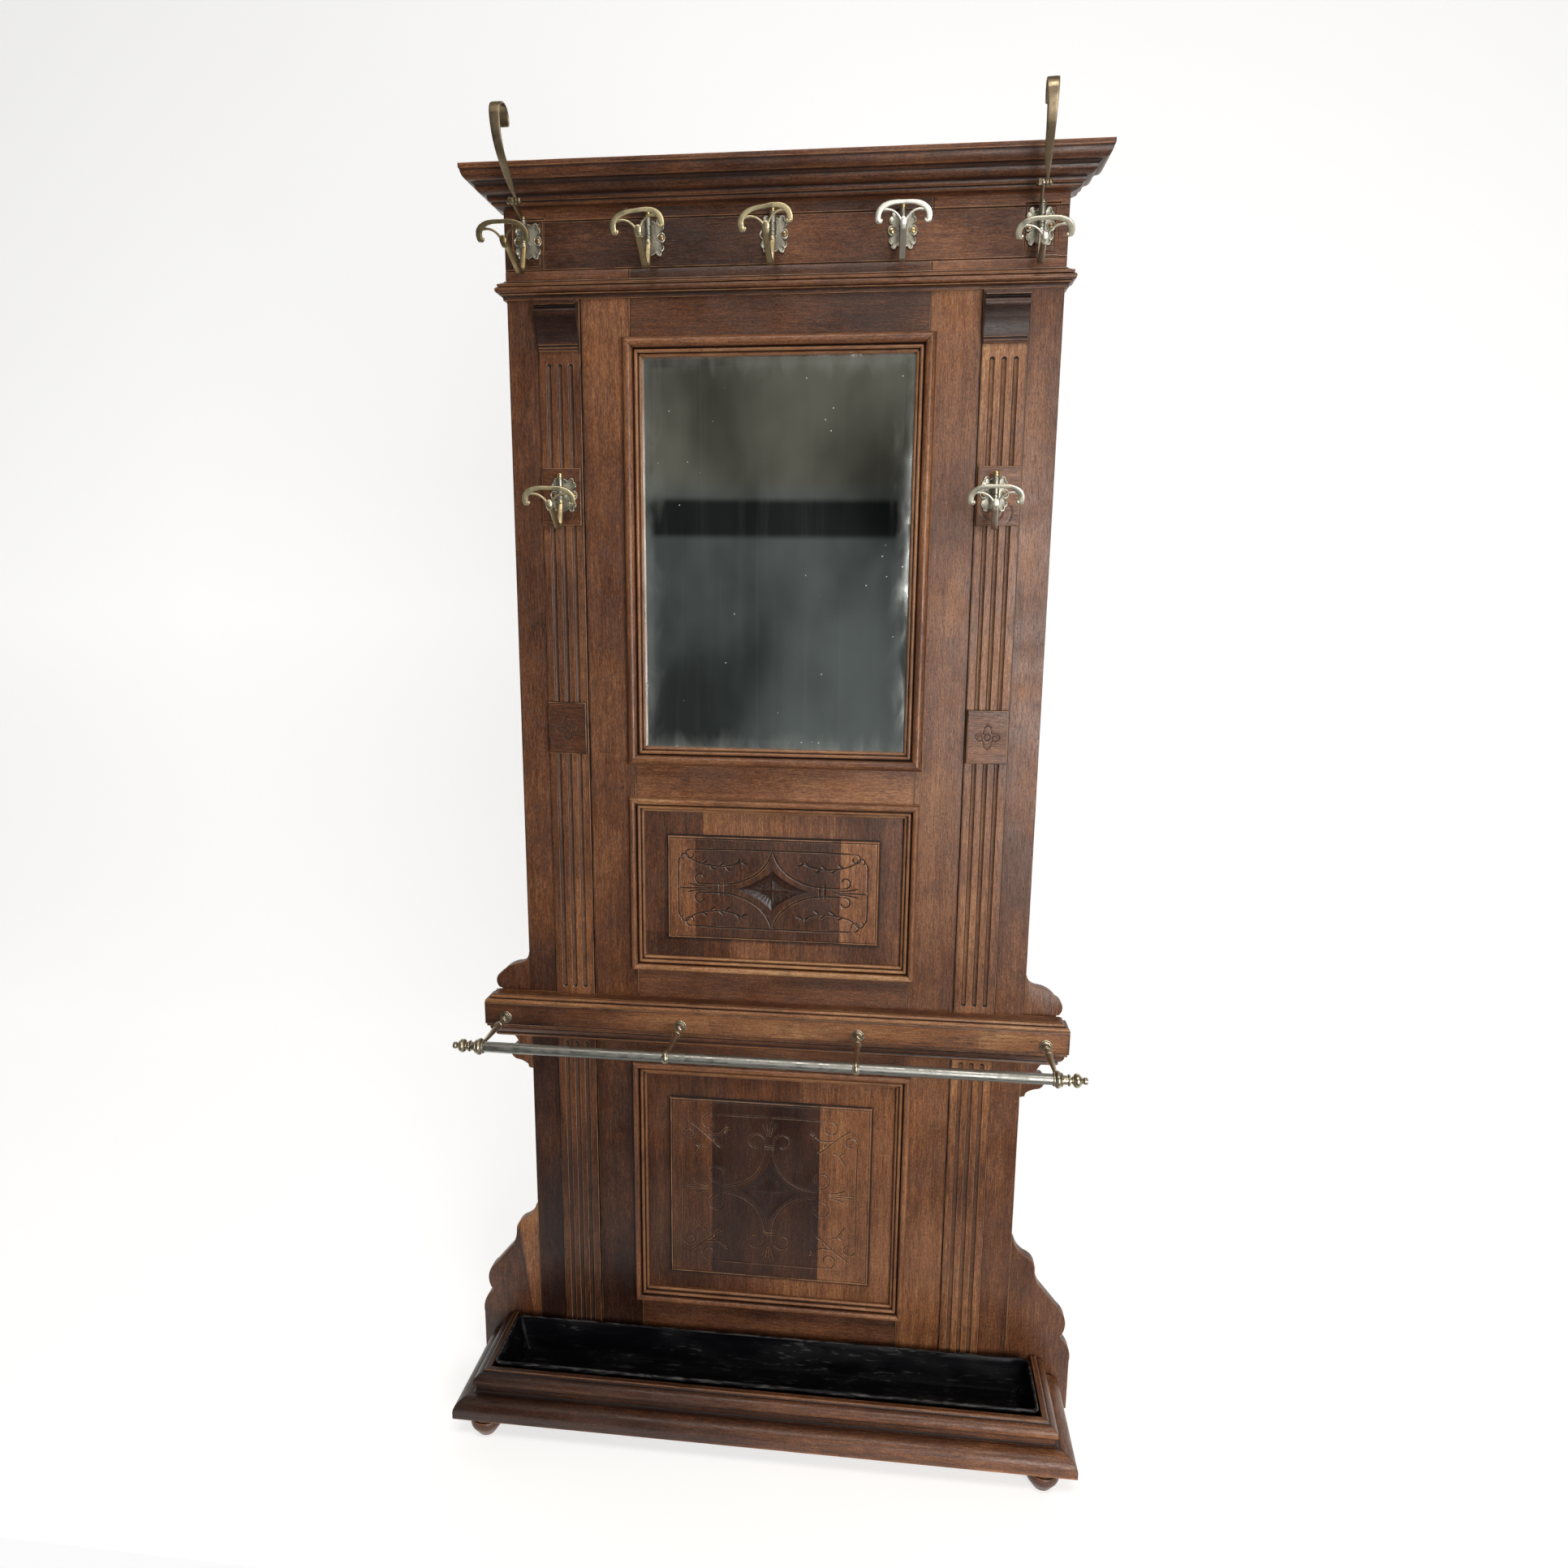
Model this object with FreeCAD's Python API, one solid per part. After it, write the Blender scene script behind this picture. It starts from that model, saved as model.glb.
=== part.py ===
"""Hall tree: a flat walnut back with mirror and carved panels, seven swivel coat
hooks, two folding hat arms, an umbrella rail and a lift-out drip tray.

Frame: +X to the viewer's right, +Y towards the wall, +Z up, millimetres.
Origin: centre of the footprint, on the floor.
"""
import FreeCAD, Part
import math
import os

V = FreeCAD.Vector

# ---- Driving dimensions -------------------------------------------------------
CARCASS_HALF = 450.0        # half width of the framed back
BOARD = 28.0                # thickness of stiles, rails and frieze
DEPTH = 233.0               # wall to front of plinth
FOOT_H = 40.0               # floor to underside of plinth

BACK_Y = DEPTH / 2          # wall plane
FACE_Y = BACK_Y - BOARD     # front face of the stiles

PLINTH_Z = FOOT_H           # every height below is measured up from here
BEAM_Z = PLINTH_Z + 663     # underside of the beam's lower moulding
FRIEZE_Z = PLINTH_Z + 1976  # underside of the frieze board
CROWN_Z = PLINTH_Z + 2083   # underside of the cornice
TOP_Z = PLINTH_Z + 2139     # top of the cornice

# Stiles and pilasters, as distances from the centre line
INNER_STILE_X = (243.5, 325.0)
PILASTER_X = (326.0, 397.0)
OUTER_STILE_X = (397.0, CARCASS_HALF)
PILASTER_PROUD = 6.0
PILASTER_MID_X = sum(PILASTER_X) / 2
PILASTER_SPLIT_Z = BEAM_Z + 44
UPPER_SHAFT_Z = (PLINTH_Z + 745, PLINTH_Z + 1946)
LOWER_SHAFT_TOP_Z = BEAM_Z
FLUTE_HALF = 4.4             # half width of a shallow flute
FLUTE_DEEP = 2.2
FLUTE_PITCH = 18.6
UPPER_FLUTE_Z = (PLINTH_Z + 757, PLINTH_Z + 1846)
LOWER_FLUTE_Z = (PLINTH_Z + 66, PLINTH_Z + 652)

# Blocks planted on the pilasters
BLOCK_HALF_W = 33.5
BLOCK_PROUD = 8.0
HOOK_BLOCK_Z = (PLINTH_Z + 1584.5, PLINTH_Z + 1678)
ROSETTE_BLOCK_Z = (PLINTH_Z + 1193.5, PLINTH_Z + 1284)
CORBEL_Z = (PLINTH_Z + 1864, PLINTH_Z + 1940)
CORBEL_HALF_W = 34.5

# Openings of the frame, by the outer edge of the moulding round each
LOWER_FRAME = dict(half=256.0, z0=PLINTH_Z + 126, z1=PLINTH_Z + 618.5, width=25.0)
MIDDLE_FRAME = dict(half=254.5, z0=PLINTH_Z + 798.5, z1=PLINTH_Z + 1117.7, width=25.0)
MIRROR_FRAME = dict(half=255.5, z0=PLINTH_Z + 1176, z1=PLINTH_Z + 1886, width=31.0)
MOULDING_H = 14.0           # how far a moulding stands out from the stiles
REBATE = 6.0                # how far panel and glass lie behind the stile faces
PANEL_T = 12.0
FIELD_HALF = 189.0
FIELD_PROUD = 4.0
LOWER_FIELD_Z = (PLINTH_Z + 186, PLINTH_Z + 547)
MIDDLE_FIELD_Z = (PLINTH_Z + 858, PLINTH_Z + 1049)
GLASS_T = 5.0
BACKBOARD_T = 10.0

# Beam that carries the umbrella rail
BEAM_HALF = 524.0
BEAM_PROUD = 41.0
BEAM_FACE_Z = (BEAM_Z + 28, BEAM_Z + 69.6)
BEAM_TOP_Z = BEAM_Z + 82

# Plinth, with the tray well between its rails
PLINTH_HALF = 551.0
PLINTH_PROUD = DEPTH - BOARD
PLINTH_RAIL_IN = 150.0      # depth of the well in front of the stiles
PLINTH_H = 70.0
WELL_HALF = PLINTH_HALF - PLINTH_PROUD + PLINTH_RAIL_IN
BOTTOM_BOARD_Z = (PLINTH_Z + 6, PLINTH_Z + 18)
FOOT_X = 497.0
FOOT_Y = FACE_Y - 177.0
FOOT_R = 27.5

# Drip tray
TRAY_T = 1.6
TRAY_RIM_Z = PLINTH_Z + 74
TRAY_FLOOR_Z = BOTTOM_BOARD_Z[1] + 0.4
TRAY_TOP_HALF = WELL_HALF - 6
TRAY_FLOOR_HALF = WELL_HALF - 26
TRAY_TOP_Y = (FACE_Y - PLINTH_RAIL_IN + 5, FACE_Y - 18)
TRAY_FLOOR_Y = (FACE_Y - PLINTH_RAIL_IN + 22, FACE_Y - 33)
TRAY_RIM_R = 3.0

# Side boards beside the carcass
SIDE_BOARD_T = 20.0
SIDE_BOARD_Y = FACE_Y + 4

# Umbrella rail
RAIL_Z = PLINTH_Z + 707
RAIL_Y = FACE_Y - 170
RAIL_R = 9.0
RAIL_BORE_R = 7.6
RAIL_END_X = 480.0
RAIL_MID_X = 159.0

# Hooks, measured from the middle of each back plate on its wall
PLATE_W = 47.0
PLATE_H = 56.0
PLATE_T = 2.6
SCREW_X = 16.5
BARREL_OUT = 20.0           # swivel axis, out from the wall
BARREL_R = 5.6
PIN_R = 3.0
PIN_CLEARANCE = 0.06
BARREL_Z = (-8.0, 26.0)
RUN_GAP = 0.3
BEND_FULL = 1.05            # how much fuller a square bar is where it bends
STRAP_W = 10.4
STRAP_T = 5.0
BAR_OUT = 123.0             # middle of the crossbar, out from the wall
BAR_HALF = 36.0
KNUCKLE = (57.0, 43.0)      # hat arm bolt: out from the wall, up from the plate
KNUCKLE_R = 6.5
BOLT_R = 2.5

FRIEZE_HOOK_Z = PLINTH_Z + 2036
BLOCK_HOOK_Z = PLINTH_Z + 1634
FRIEZE_WALL_Y = FACE_Y
BLOCK_WALL_Y = FACE_Y - PILASTER_PROUD - BLOCK_PROUD

# name, x, z, wall y, swivel, roll and droop of the arm in degrees, has a hat arm
HOOKS = [
    ("coat_hook_1", -411.0, FRIEZE_HOOK_Z, FRIEZE_WALL_Y, -1.0, 0.0, 5.0, True),
    ("coat_hook_2", -206.0, FRIEZE_HOOK_Z, FRIEZE_WALL_Y, 1.0, -7.0, 0.0, False),
    ("coat_hook_3", -7.0, FRIEZE_HOOK_Z, FRIEZE_WALL_Y, -2.0, -8.0, 0.0, False),
    ("coat_hook_4", 196.0, FRIEZE_HOOK_Z, FRIEZE_WALL_Y, 0.0, 0.0, 0.0, False),
    ("coat_hook_5", 407.0, FRIEZE_HOOK_Z, FRIEZE_WALL_Y, -4.0, 0.0, 15.0, True),
    ("coat_hook_6", -357.0, BLOCK_HOOK_Z, BLOCK_WALL_Y, 6.0, 0.0, 0.0, False),
    ("coat_hook_7", 355.0, BLOCK_HOOK_Z, BLOCK_WALL_Y, -5.0, 0.0, 0.0, False),
]


# ---- Helpers -------------------------------------------------------------------
def box(x0, x1, y0, y1, z0, z1):
    return Part.makeBox(x1 - x0, y1 - y0, z1 - z0, V(x0, y0, z0))


def mirrored(shape):
    """The same shape on the other side of the centre plane."""
    return shape.mirror(V(0, 0, 0), V(1, 0, 0))


def fused(shapes):
    first = shapes[0]
    whole = first.fuse(shapes[1:]) if len(shapes) > 1 else first
    return whole.removeSplitter()


def outline(start, steps, place):
    """A closed face. A step of 2 numbers is a line's end, one of 4 is an arc's
    middle and end. place(a, b) turns the two numbers into a point in space."""
    edges = []
    here = start
    for step in steps + [start]:
        end = step[-2:]
        if len(step) == 4:
            arc = Part.Arc(place(*here), place(*step[:2]), place(*end))
            edges.append(arc.toShape())
        elif math.hypot(end[0] - here[0], end[1] - here[1]) > 1e-6:
            edges.append(Part.makeLine(place(*here), place(*end)))
        here = end
    return Part.Face(Part.Wire(edges))


def mitred_run(start, steps, half, y_back):
    """A moulding round the front and both ends of a board: front length, left
    return and right return. The profile is (projection, height), measured from
    the face of a board of the given half width."""
    reach = 300.0
    tall = 4000.0
    long = 2 * (half + reach)
    front_face = outline(start, steps, lambda p, z: V(-long / 2, FACE_Y - p, z))
    side_face = outline(start, steps, lambda p, z: V(half + p, FACE_Y - reach, z))

    def wedge(points):
        ring = [V(x, y, 0) for x, y in points]
        return Part.Face(Part.makePolygon(ring + ring[:1])).extrude(V(0, 0, tall))

    front_wedge = wedge([(-half, FACE_Y), (-half - reach, FACE_Y - reach),
                         (half + reach, FACE_Y - reach), (half, FACE_Y)])
    side_wedge = wedge([(half, FACE_Y), (half + reach, FACE_Y - reach),
                        (half + reach, y_back), (half, y_back)])
    front = front_face.extrude(V(long, 0, 0)).common(front_wedge)
    side = side_face.extrude(V(0, y_back - FACE_Y + reach, 0)).common(side_wedge)
    return front, mirrored(side), side


def frame_moulding(start, steps, half, z0, z1, width):
    """Four mitred lengths round an opening. The profile is (distance in from the
    outer edge, height above the stile face)."""
    mid = (z0 + z1) / 2
    high = (z1 - z0) / 2

    def length(reach, across, side):
        """One length, lying at +across, built in its own (along, across) axes."""
        face = outline(start, steps, lambda d, h: side(-reach, across - d, h))
        bar = face.extrude(side(reach, 0, 0) - side(-reach, 0, 0))
        ring = [(-reach, across), (reach, across), (reach - width, across - width),
                (-reach + width, across - width)]
        deep = [side(a, c, -60) for a, c in ring]
        cutter = Part.Face(Part.makePolygon(deep + deep[:1]))
        return bar.common(cutter.extrude(side(0, 0, 60) - side(0, 0, -60)))

    sides = [
        (half, high, lambda a, c, h: V(a, FACE_Y - h, mid + c)),
        (half, high, lambda a, c, h: V(-a, FACE_Y - h, mid - c)),
        (high, half, lambda a, c, h: V(c, FACE_Y - h, mid - a)),
        (high, half, lambda a, c, h: V(-c, FACE_Y - h, mid + a)),
    ]
    return [length(reach, across, side) for reach, across, side in sides]


def lathe(origin, axis, profile):
    """A turned piece. The profile is (distance along the axis, radius)."""
    side = V(0, 0, 1) if abs(axis.z) < 0.5 else V(1, 0, 0)
    first = profile[0][0]
    last = profile[-1][-2]
    whole = [(first, 0.0)] + list(profile) + [(last, 0.0)]
    face = outline(whole[0], whole[1:], lambda a, r: origin + axis * a + side * r)
    return face.revolve(origin, axis, 360)


def flat_bar(points, half, normal):
    """A square bar through points that lie in one plane, rounded at each bend."""
    thick = normal * (2 * half)
    solids = []
    for point in points:
        solids.append(Part.makeCylinder(half * BEND_FULL, 2 * half, point - normal * half, normal))
    for start, end in zip(points, points[1:]):
        run = end - start
        side = normal.cross(run)
        side.normalize()
        low = start - normal * half - side * half
        ring = [low, low + run, low + run + side * (2 * half), low + side * (2 * half), low]
        solids.append(Part.Face(Part.makePolygon(ring)).extrude(thick))
    return solids


def ribbon(start, heading, steps, thickness, place):
    """The edge-on face of a bent strap. steps are ("line", length) and
    ("turn", radius, degrees), where a positive turn bends to the left."""
    half = thickness / 2
    left = []
    right = []
    a, b = start
    angle = math.radians(heading)

    def side(point, direction, offset):
        return (point[0] - offset * math.sin(direction),
                point[1] + offset * math.cos(direction))

    def moved(point, direction, step):
        if step[0] == "line":
            return (point[0] + step[1] * math.cos(direction),
                    point[1] + step[1] * math.sin(direction)), direction
        turn = math.radians(step[2])
        radius = math.copysign(step[1], turn)
        centre = side(point, direction, radius)
        after = direction + turn
        return side(centre, after, -radius), after

    here = (a, b)
    for step in steps:
        end, after = moved(here, angle, step)
        for store, offset in ((left, half), (right, -half)):
            piece = [place(*side(here, angle, offset))]
            if step[0] == "turn":
                middle, between = moved(here, angle, ("turn", step[1], step[2] / 2))
                piece.append(place(*side(middle, between, offset)))
            piece.append(place(*side(end, after, offset)))
            store.append(piece)
        here, angle = end, after

    edges = []
    for piece in left:
        shape = Part.makeLine(*piece) if len(piece) == 2 else Part.Arc(*piece).toShape()
        edges.append(shape)
    edges.append(Part.makeLine(left[-1][-1], right[-1][-1]))
    for piece in reversed(right):
        back = piece[::-1]
        shape = Part.makeLine(*back) if len(back) == 2 else Part.Arc(*back).toShape()
        edges.append(shape)
    edges.append(Part.makeLine(right[0][0], left[0][0]))
    return Part.Face(Part.Wire(edges))


parts = {}


def add(name, *solids):
    """Keep a node: one solid, or a group of separate solids."""
    parts[name] = solids[0] if len(solids) == 1 else Part.makeCompound(list(solids))


# ---- Carcass -------------------------------------------------------------------
def stiles():
    for name, (x0, x1) in (("inner_stile", INNER_STILE_X), ("outer_stile", OUTER_STILE_X)):
        board = box(x0, x1, FACE_Y, BACK_Y, 0, FRIEZE_Z)
        add(name + "_right", board)
        add(name + "_left", mirrored(board))


def flutes(z0, z1):
    """Three round-ended hollows whose bottoms are arcs centred in front of the face."""
    radius = (FLUTE_HALF ** 2 + FLUTE_DEEP ** 2) / (2 * FLUTE_DEEP)
    y = FACE_Y - PILASTER_PROUD + FLUTE_DEEP - radius
    cuts = []
    for step in (-1, 0, 1):
        x = PILASTER_MID_X + step * FLUTE_PITCH
        low = V(x, y, z0 + FLUTE_HALF)
        high = V(x, y, z1 - FLUTE_HALF)
        ends = [Part.makeSphere(radius, low), Part.makeSphere(radius, high)]
        cuts += [Part.makeCylinder(radius, high.z - low.z, low)] + ends
    return cuts


def pilasters():
    x0, x1 = PILASTER_X
    front = FACE_Y - PILASTER_PROUD
    lower = fused([box(x0, x1, FACE_Y, BACK_Y, 0, PILASTER_SPLIT_Z),
                   box(x0, x1, front, FACE_Y, BOTTOM_BOARD_Z[1], LOWER_SHAFT_TOP_Z)])
    upper = fused([box(x0, x1, FACE_Y, BACK_Y, PILASTER_SPLIT_Z, FRIEZE_Z),
                   box(x0, x1, front, FACE_Y, *UPPER_SHAFT_Z)])
    lower = lower.cut(flutes(*LOWER_FLUTE_Z))
    upper = upper.cut(flutes(*UPPER_FLUTE_Z))
    for name, shaft in (("lower_pilaster", lower), ("upper_pilaster", upper)):
        add(name + "_right", shaft)
        add(name + "_left", mirrored(shaft))


def pilaster_blocks():
    front = FACE_Y - PILASTER_PROUD
    x0 = PILASTER_MID_X - BLOCK_HALF_W
    x1 = PILASTER_MID_X + BLOCK_HALF_W
    for name, (z0, z1) in (("hook_blocks", HOOK_BLOCK_Z), ("rosette_blocks", ROSETTE_BLOCK_Z)):
        block = box(x0, x1, front - BLOCK_PROUD, front, z0, z1)
        edges = [e for e in block.Edges
                 if all(v.Y < front - BLOCK_PROUD + 0.1 for v in e.Vertexes)]
        block = block.makeChamfer(1.2, edges)
        add(name, mirrored(block), block)


def corbels():
    z0, z1 = CORBEL_Z
    front = FACE_Y - PILASTER_PROUD
    start = (0, z0 + 2)
    steps = [(2, z0, 4, z0 + 2), (5.5, z0 + 5), (5, z0 + 9), (7, z0 + 9.5),
             (8.5, z0 + 26, 14, z0 + 42), (20, z0 + 54, 22, z0 + 62),
             (22, z0 + 64), (19, z0 + 65.5), (19, z0 + 67.5), (25, z0 + 68),
             (25, z1), (0, z1)]
    x0 = PILASTER_MID_X - CORBEL_HALF_W
    face = outline(start, steps, lambda p, z: V(x0, front - p, z))
    corbel = face.extrude(V(2 * CORBEL_HALF_W, 0, 0))
    add("corbels", mirrored(corbel), corbel)


def opening_z(frame):
    """Bottom and top of an opening, which its moulding laps as far as at the sides."""
    lap = frame["half"] - INNER_STILE_X[0]
    return frame["z0"] + lap, frame["z1"] - lap


def rails():
    edges = [0, *opening_z(LOWER_FRAME), *opening_z(MIDDLE_FRAME),
             *opening_z(MIRROR_FRAME), FRIEZE_Z]
    half = INNER_STILE_X[0]
    names = ["bottom_rail", "beam_rail", "mirror_rail", "top_rail"]
    for name, z0, z1 in zip(names, edges[0::2], edges[1::2]):
        add(name, box(-half, half, FACE_Y, BACK_Y, z0, z1))


def panel(name, frame, field_z):
    """A flat panel with a raised field, held in the opening behind its moulding."""
    half = INNER_STILE_X[0]
    front = FACE_Y + REBATE
    ground = box(-half, half, front, front + PANEL_T, *opening_z(frame))
    field = box(-FIELD_HALF, FIELD_HALF, front - FIELD_PROUD, front, *field_z)
    edges = [e for e in field.Edges
             if all(v.Y < front - FIELD_PROUD + 0.1 for v in e.Vertexes)]
    add(name, fused([ground, field.makeFillet(2.0, edges)]))


def opening_moulding(name, frame):
    """A lapped moulding: outer fillet, large torus, groove, bead and inner quirk."""
    lap = frame["half"] - INNER_STILE_X[0]
    w = frame["width"]
    h = MOULDING_H
    bead = w - 10.5
    start = (0, 0)
    steps = [(0, h * 0.4), (1.6, h * 0.5), (4.5, h * 1.08, bead - 2.6, h * 0.72),
             (bead - 1.4, h * 0.42), (bead, h * 0.42),
             (bead + 2.4, h * 0.66, bead + 4.8, h * 0.42), (bead + 5.6, h * 0.16),
             (w - 2.6, h * 0.2, w, -h * 0.12), (w, -REBATE), (lap, -REBATE), (lap, 0)]
    add(name, *frame_moulding(start, steps, frame["half"], frame["z0"], frame["z1"], w))


def mirror_and_back():
    half = INNER_STILE_X[0]
    z0, z1 = opening_z(MIRROR_FRAME)
    front = FACE_Y + REBATE
    add("mirror_glass", box(-half, half, front, front + GLASS_T, z0, z1))
    back = front + GLASS_T
    add("mirror_backboard", box(-half, half, back, back + BACKBOARD_T, z0, z1))


# ---- Frieze and cornice ----------------------------------------------------------
def frieze():
    half = CARCASS_HALF + 1
    add("frieze_board", box(-half, half, FACE_Y, BACK_Y, FRIEZE_Z, TOP_Z))

    z = FRIEZE_Z - 30
    steps = [(7.5, z), (9.5, z + 3), (12, z + 6), (14.6, z + 11, 13.6, z + 16),
             (9, z + 20.5, 3, z + 25), (2, z + 30), (0, z + 30)]
    add("astragal", *mitred_run((0, z), steps, half, BACK_Y))


def cornice():
    z = CROWN_Z
    steps = [(4.5, z + 1.5), (9.5, z + 3.5), (13.2, z + 5.5, 14.2, z + 9),
             (17.2, z + 10), (19.2, z + 13, 19.6, z + 16.4), (23.5, z + 17.6),
             (31, z + 21.5, 34.2, z + 28.6), (36, z + 30.4), (38.4, z + 32.6),
             (44, z + 33.4), (49.5, z + 39.5, 51.5, z + 46.5), (53.4, z + 49),
             (53.4, z + 56), (0, z + 56)]
    add("cornice", *mitred_run((0, z), steps, CARCASS_HALF + 1, BACK_Y))


# ---- Beam with its brackets --------------------------------------------------------
def beam():
    root = BEAM_HALF - BEAM_PROUD
    z0, z1 = BEAM_FACE_Z
    p = BEAM_PROUD
    board = box(-BEAM_HALF, BEAM_HALF, FACE_Y - p, FACE_Y, z0, z1)
    edges = [e for e in board.Edges
             if all(v.Y < FACE_Y - p + 0.1 for v in e.Vertexes)]
    add("beam", board.makeFillet(2.5, edges))

    steps = [(p - 1.5, z1), (p - 1.5, z1 + 1.6), (p - 2, z1 + 5.2, p - 6, z1 + 6.4),
             (p - 8.5, z1 + 6.6), (p - 9, z1 + 10.4, p - 13, z1 + 11.6),
             (p - 14, BEAM_TOP_Z), (0, BEAM_TOP_Z)]
    add("beam_cap", *mitred_run((0, z1), steps, root, FACE_Y))

    z = BEAM_Z
    steps = [(22, z), (26, z + 4), (25, z + 8), (30, z + 12, 34, z + 20),
             (34, z + 23), (p - 3, z + 23.5), (p - 3, z0), (0, z0)]
    add("beam_lower_moulding", *mitred_run((0, z), steps, root, FACE_Y))


def bracket(start, steps):
    """A flat shaped board beside the outer stile."""
    face = outline(start, steps, lambda x, z: V(x, SIDE_BOARD_Y, z))
    return face.extrude(V(0, SIDE_BOARD_T, 0))


def brackets():
    x = CARCASS_HALF
    z = BEAM_TOP_Z
    tongue = BEAM_TOP_Z - BEAM_Z
    upper = bracket((x, z - tongue), [(x + 56, z - tongue), (x + 56, z), (x + 60, z),
                             (x + 66, z + 16, x + 54, z + 31),
                             (x + 38, z + 45, x + 21, z + 50),
                             (x + 11, z + 54, x + 3, z + 66), (x, z + 72)])
    add("upper_brackets", mirrored(upper), upper)

    z = BEAM_Z
    lower = bracket((x, z), [(x + 62, z), (x + 44, z - 5, x + 29, z - 21),
                             (x + 28, z - 27, x + 36, z - 31),
                             (x + 43, z - 46, x + 27, z - 60),
                             (x + 19, z - 63, x + 11, z - 68), (x + 9, z - 75),
                             (x, z - 76)])
    add("lower_brackets", mirrored(lower), lower)


def wings():
    x = CARCASS_HALF
    z = PLINTH_Z
    wing = bracket((x, 0), [(x + 118, 0), (x + 118, z + 60),
                            (x + 115, z + 88, x + 101, z + 108),
                            (x + 100, z + 112), (x + 107, z + 138, x + 91, z + 170),
                            (x + 72, z + 193, x + 56, z + 212),
                            (x + 48, z + 230, x + 46, z + 248),
                            (x + 39, z + 264, x + 26, z + 273),
                            (x + 12, z + 286, x + 5, z + 302), (x, z + 304)])
    add("wing_left", mirrored(wing))
    add("wing_right", wing)


# ---- Plinth, feet and tray ----------------------------------------------------------
def plinth():
    z = PLINTH_Z
    p = PLINTH_PROUD
    inner = PLINTH_RAIL_IN
    steps = [(p, z), (p, z + 11), (p - 6, z + 27, p - 27, z + 33), (p - 33, z + 34),
             (p - 34, z + 47), (p - 29.5, z + 49.5), (p - 29, z + 54),
             (p - 33, z + 62, p - 43, z + 66), (p - 45.5, z + PLINTH_H),
             (inner, z + PLINTH_H)]
    root = PLINTH_HALF - p
    front, left, right = mitred_run((inner, z), steps, root, FACE_Y)
    add("plinth_front", front)
    add("plinth_left", left)
    add("plinth_right", right)
    add("plinth_bottom", box(-WELL_HALF, WELL_HALF, FACE_Y - inner, FACE_Y, *BOTTOM_BOARD_Z))


def feet():
    r = FOOT_R
    profile = [(0, r * 0.5), (15, r * 0.88), (24, r * 1.04, FOOT_H - 6, r * 0.97),
               (FOOT_H - 6, r * 0.86), (FOOT_H, r * 0.86)]
    foot = lathe(V(FOOT_X, FOOT_Y, 0), V(0, 0, 1), profile)
    add("feet", mirrored(foot), foot)


def rectangle(half, y_range, z, inset):
    x = half - inset
    y0 = y_range[0] + inset
    y1 = y_range[1] - inset
    return Part.makePolygon([V(-x, y0, z), V(x, y0, z), V(x, y1, z), V(-x, y1, z), V(-x, y0, z)])


def drip_tray():
    def tub(inset, z0, z1):
        low = rectangle(TRAY_FLOOR_HALF, TRAY_FLOOR_Y, z0, inset)
        high = rectangle(TRAY_TOP_HALF, TRAY_TOP_Y, z1, inset)
        return Part.makeLoft([low, high], True, True)

    outer = tub(0, TRAY_FLOOR_Z, TRAY_RIM_Z)
    inner = tub(TRAY_T, TRAY_FLOOR_Z + TRAY_T, TRAY_RIM_Z + 0.01)
    low = TRAY_RIM_Z - TRAY_RIM_R
    outside = Part.Face(rectangle(TRAY_TOP_HALF, TRAY_TOP_Y, low, -TRAY_RIM_R + TRAY_T / 2))
    inside = Part.Face(rectangle(TRAY_TOP_HALF, TRAY_TOP_Y, low, TRAY_RIM_R + TRAY_T / 2))
    rim = outside.cut(inside).extrude(V(0, 0, 2 * TRAY_RIM_R))
    add("drip_tray", fused([outer.cut(inner), rim]))


# ---- Umbrella rail --------------------------------------------------------------------
def umbrella_rail():
    along = V(1, 0, 0)
    half = RAIL_END_X - 1
    start = V(-half, RAIL_Y, RAIL_Z)
    tube = Part.makeCylinder(RAIL_R, 2 * half, start, along)
    bore = Part.makeCylinder(RAIL_BORE_R, 2 * half, start, along)
    add("rail_tube", tube.cut(bore))

    length = FACE_Y - BEAM_PROUD - RAIL_Y - RAIL_R + 1.0
    stem = [(0, 11.2), (1.8, 11.2), (2.6, 9.4), (4.6, 8.6), (5.2, 5.6), (10.5, 7, 15.5, 4.2),
            (19, 3.6), (33, 5), (34, 6.6), (37, 7.2, 40, 6.2), (41, 5.2), (45, 5.6),
            (100, 3.4), (length, 3.6)]
    out = V(0, -1, 0)
    arms = []
    for x in (-RAIL_END_X, -RAIL_MID_X, RAIL_MID_X, RAIL_END_X):
        at_end = abs(x) == RAIL_END_X
        rosette = V(x, FACE_Y - BEAM_PROUD, RAIL_Z)
        arm = lathe(rosette, out, stem)
        if at_end:
            ring = [(-8, 10.4), (-6.5, 11.6), (-4, 11.6), (0, 14.2, 4, 11.6), (6, 11.4), (8, 9)]
        else:
            ring = [(-5.5, 10.6), (-4, 11.4), (0, 12.6, 4, 11.4), (5.5, 10.6)]
        side = V(math.copysign(1, x), 0, 0)
        socket = lathe(V(x, RAIL_Y, RAIL_Z), side, ring)
        arms.append(fused([arm, socket]).cut(tube))
    add("rail_arms", *arms)

    finial_profile = [(0, 8), (8, 7.4), (8.6, 9.6), (11, 9.6), (11.6, 5), (14, 4.6),
                      (15, 6.6), (16, 6.6), (17, 8.6), (22, 11.6), (24, 11.6), (30, 5.4),
                      (32, 4.4), (34, 6), (39, 6)]
    tip = lathe(V(RAIL_END_X + 8, RAIL_Y, RAIL_Z), along, finial_profile)
    add("rail_finials", mirrored(tip), tip)


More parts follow.
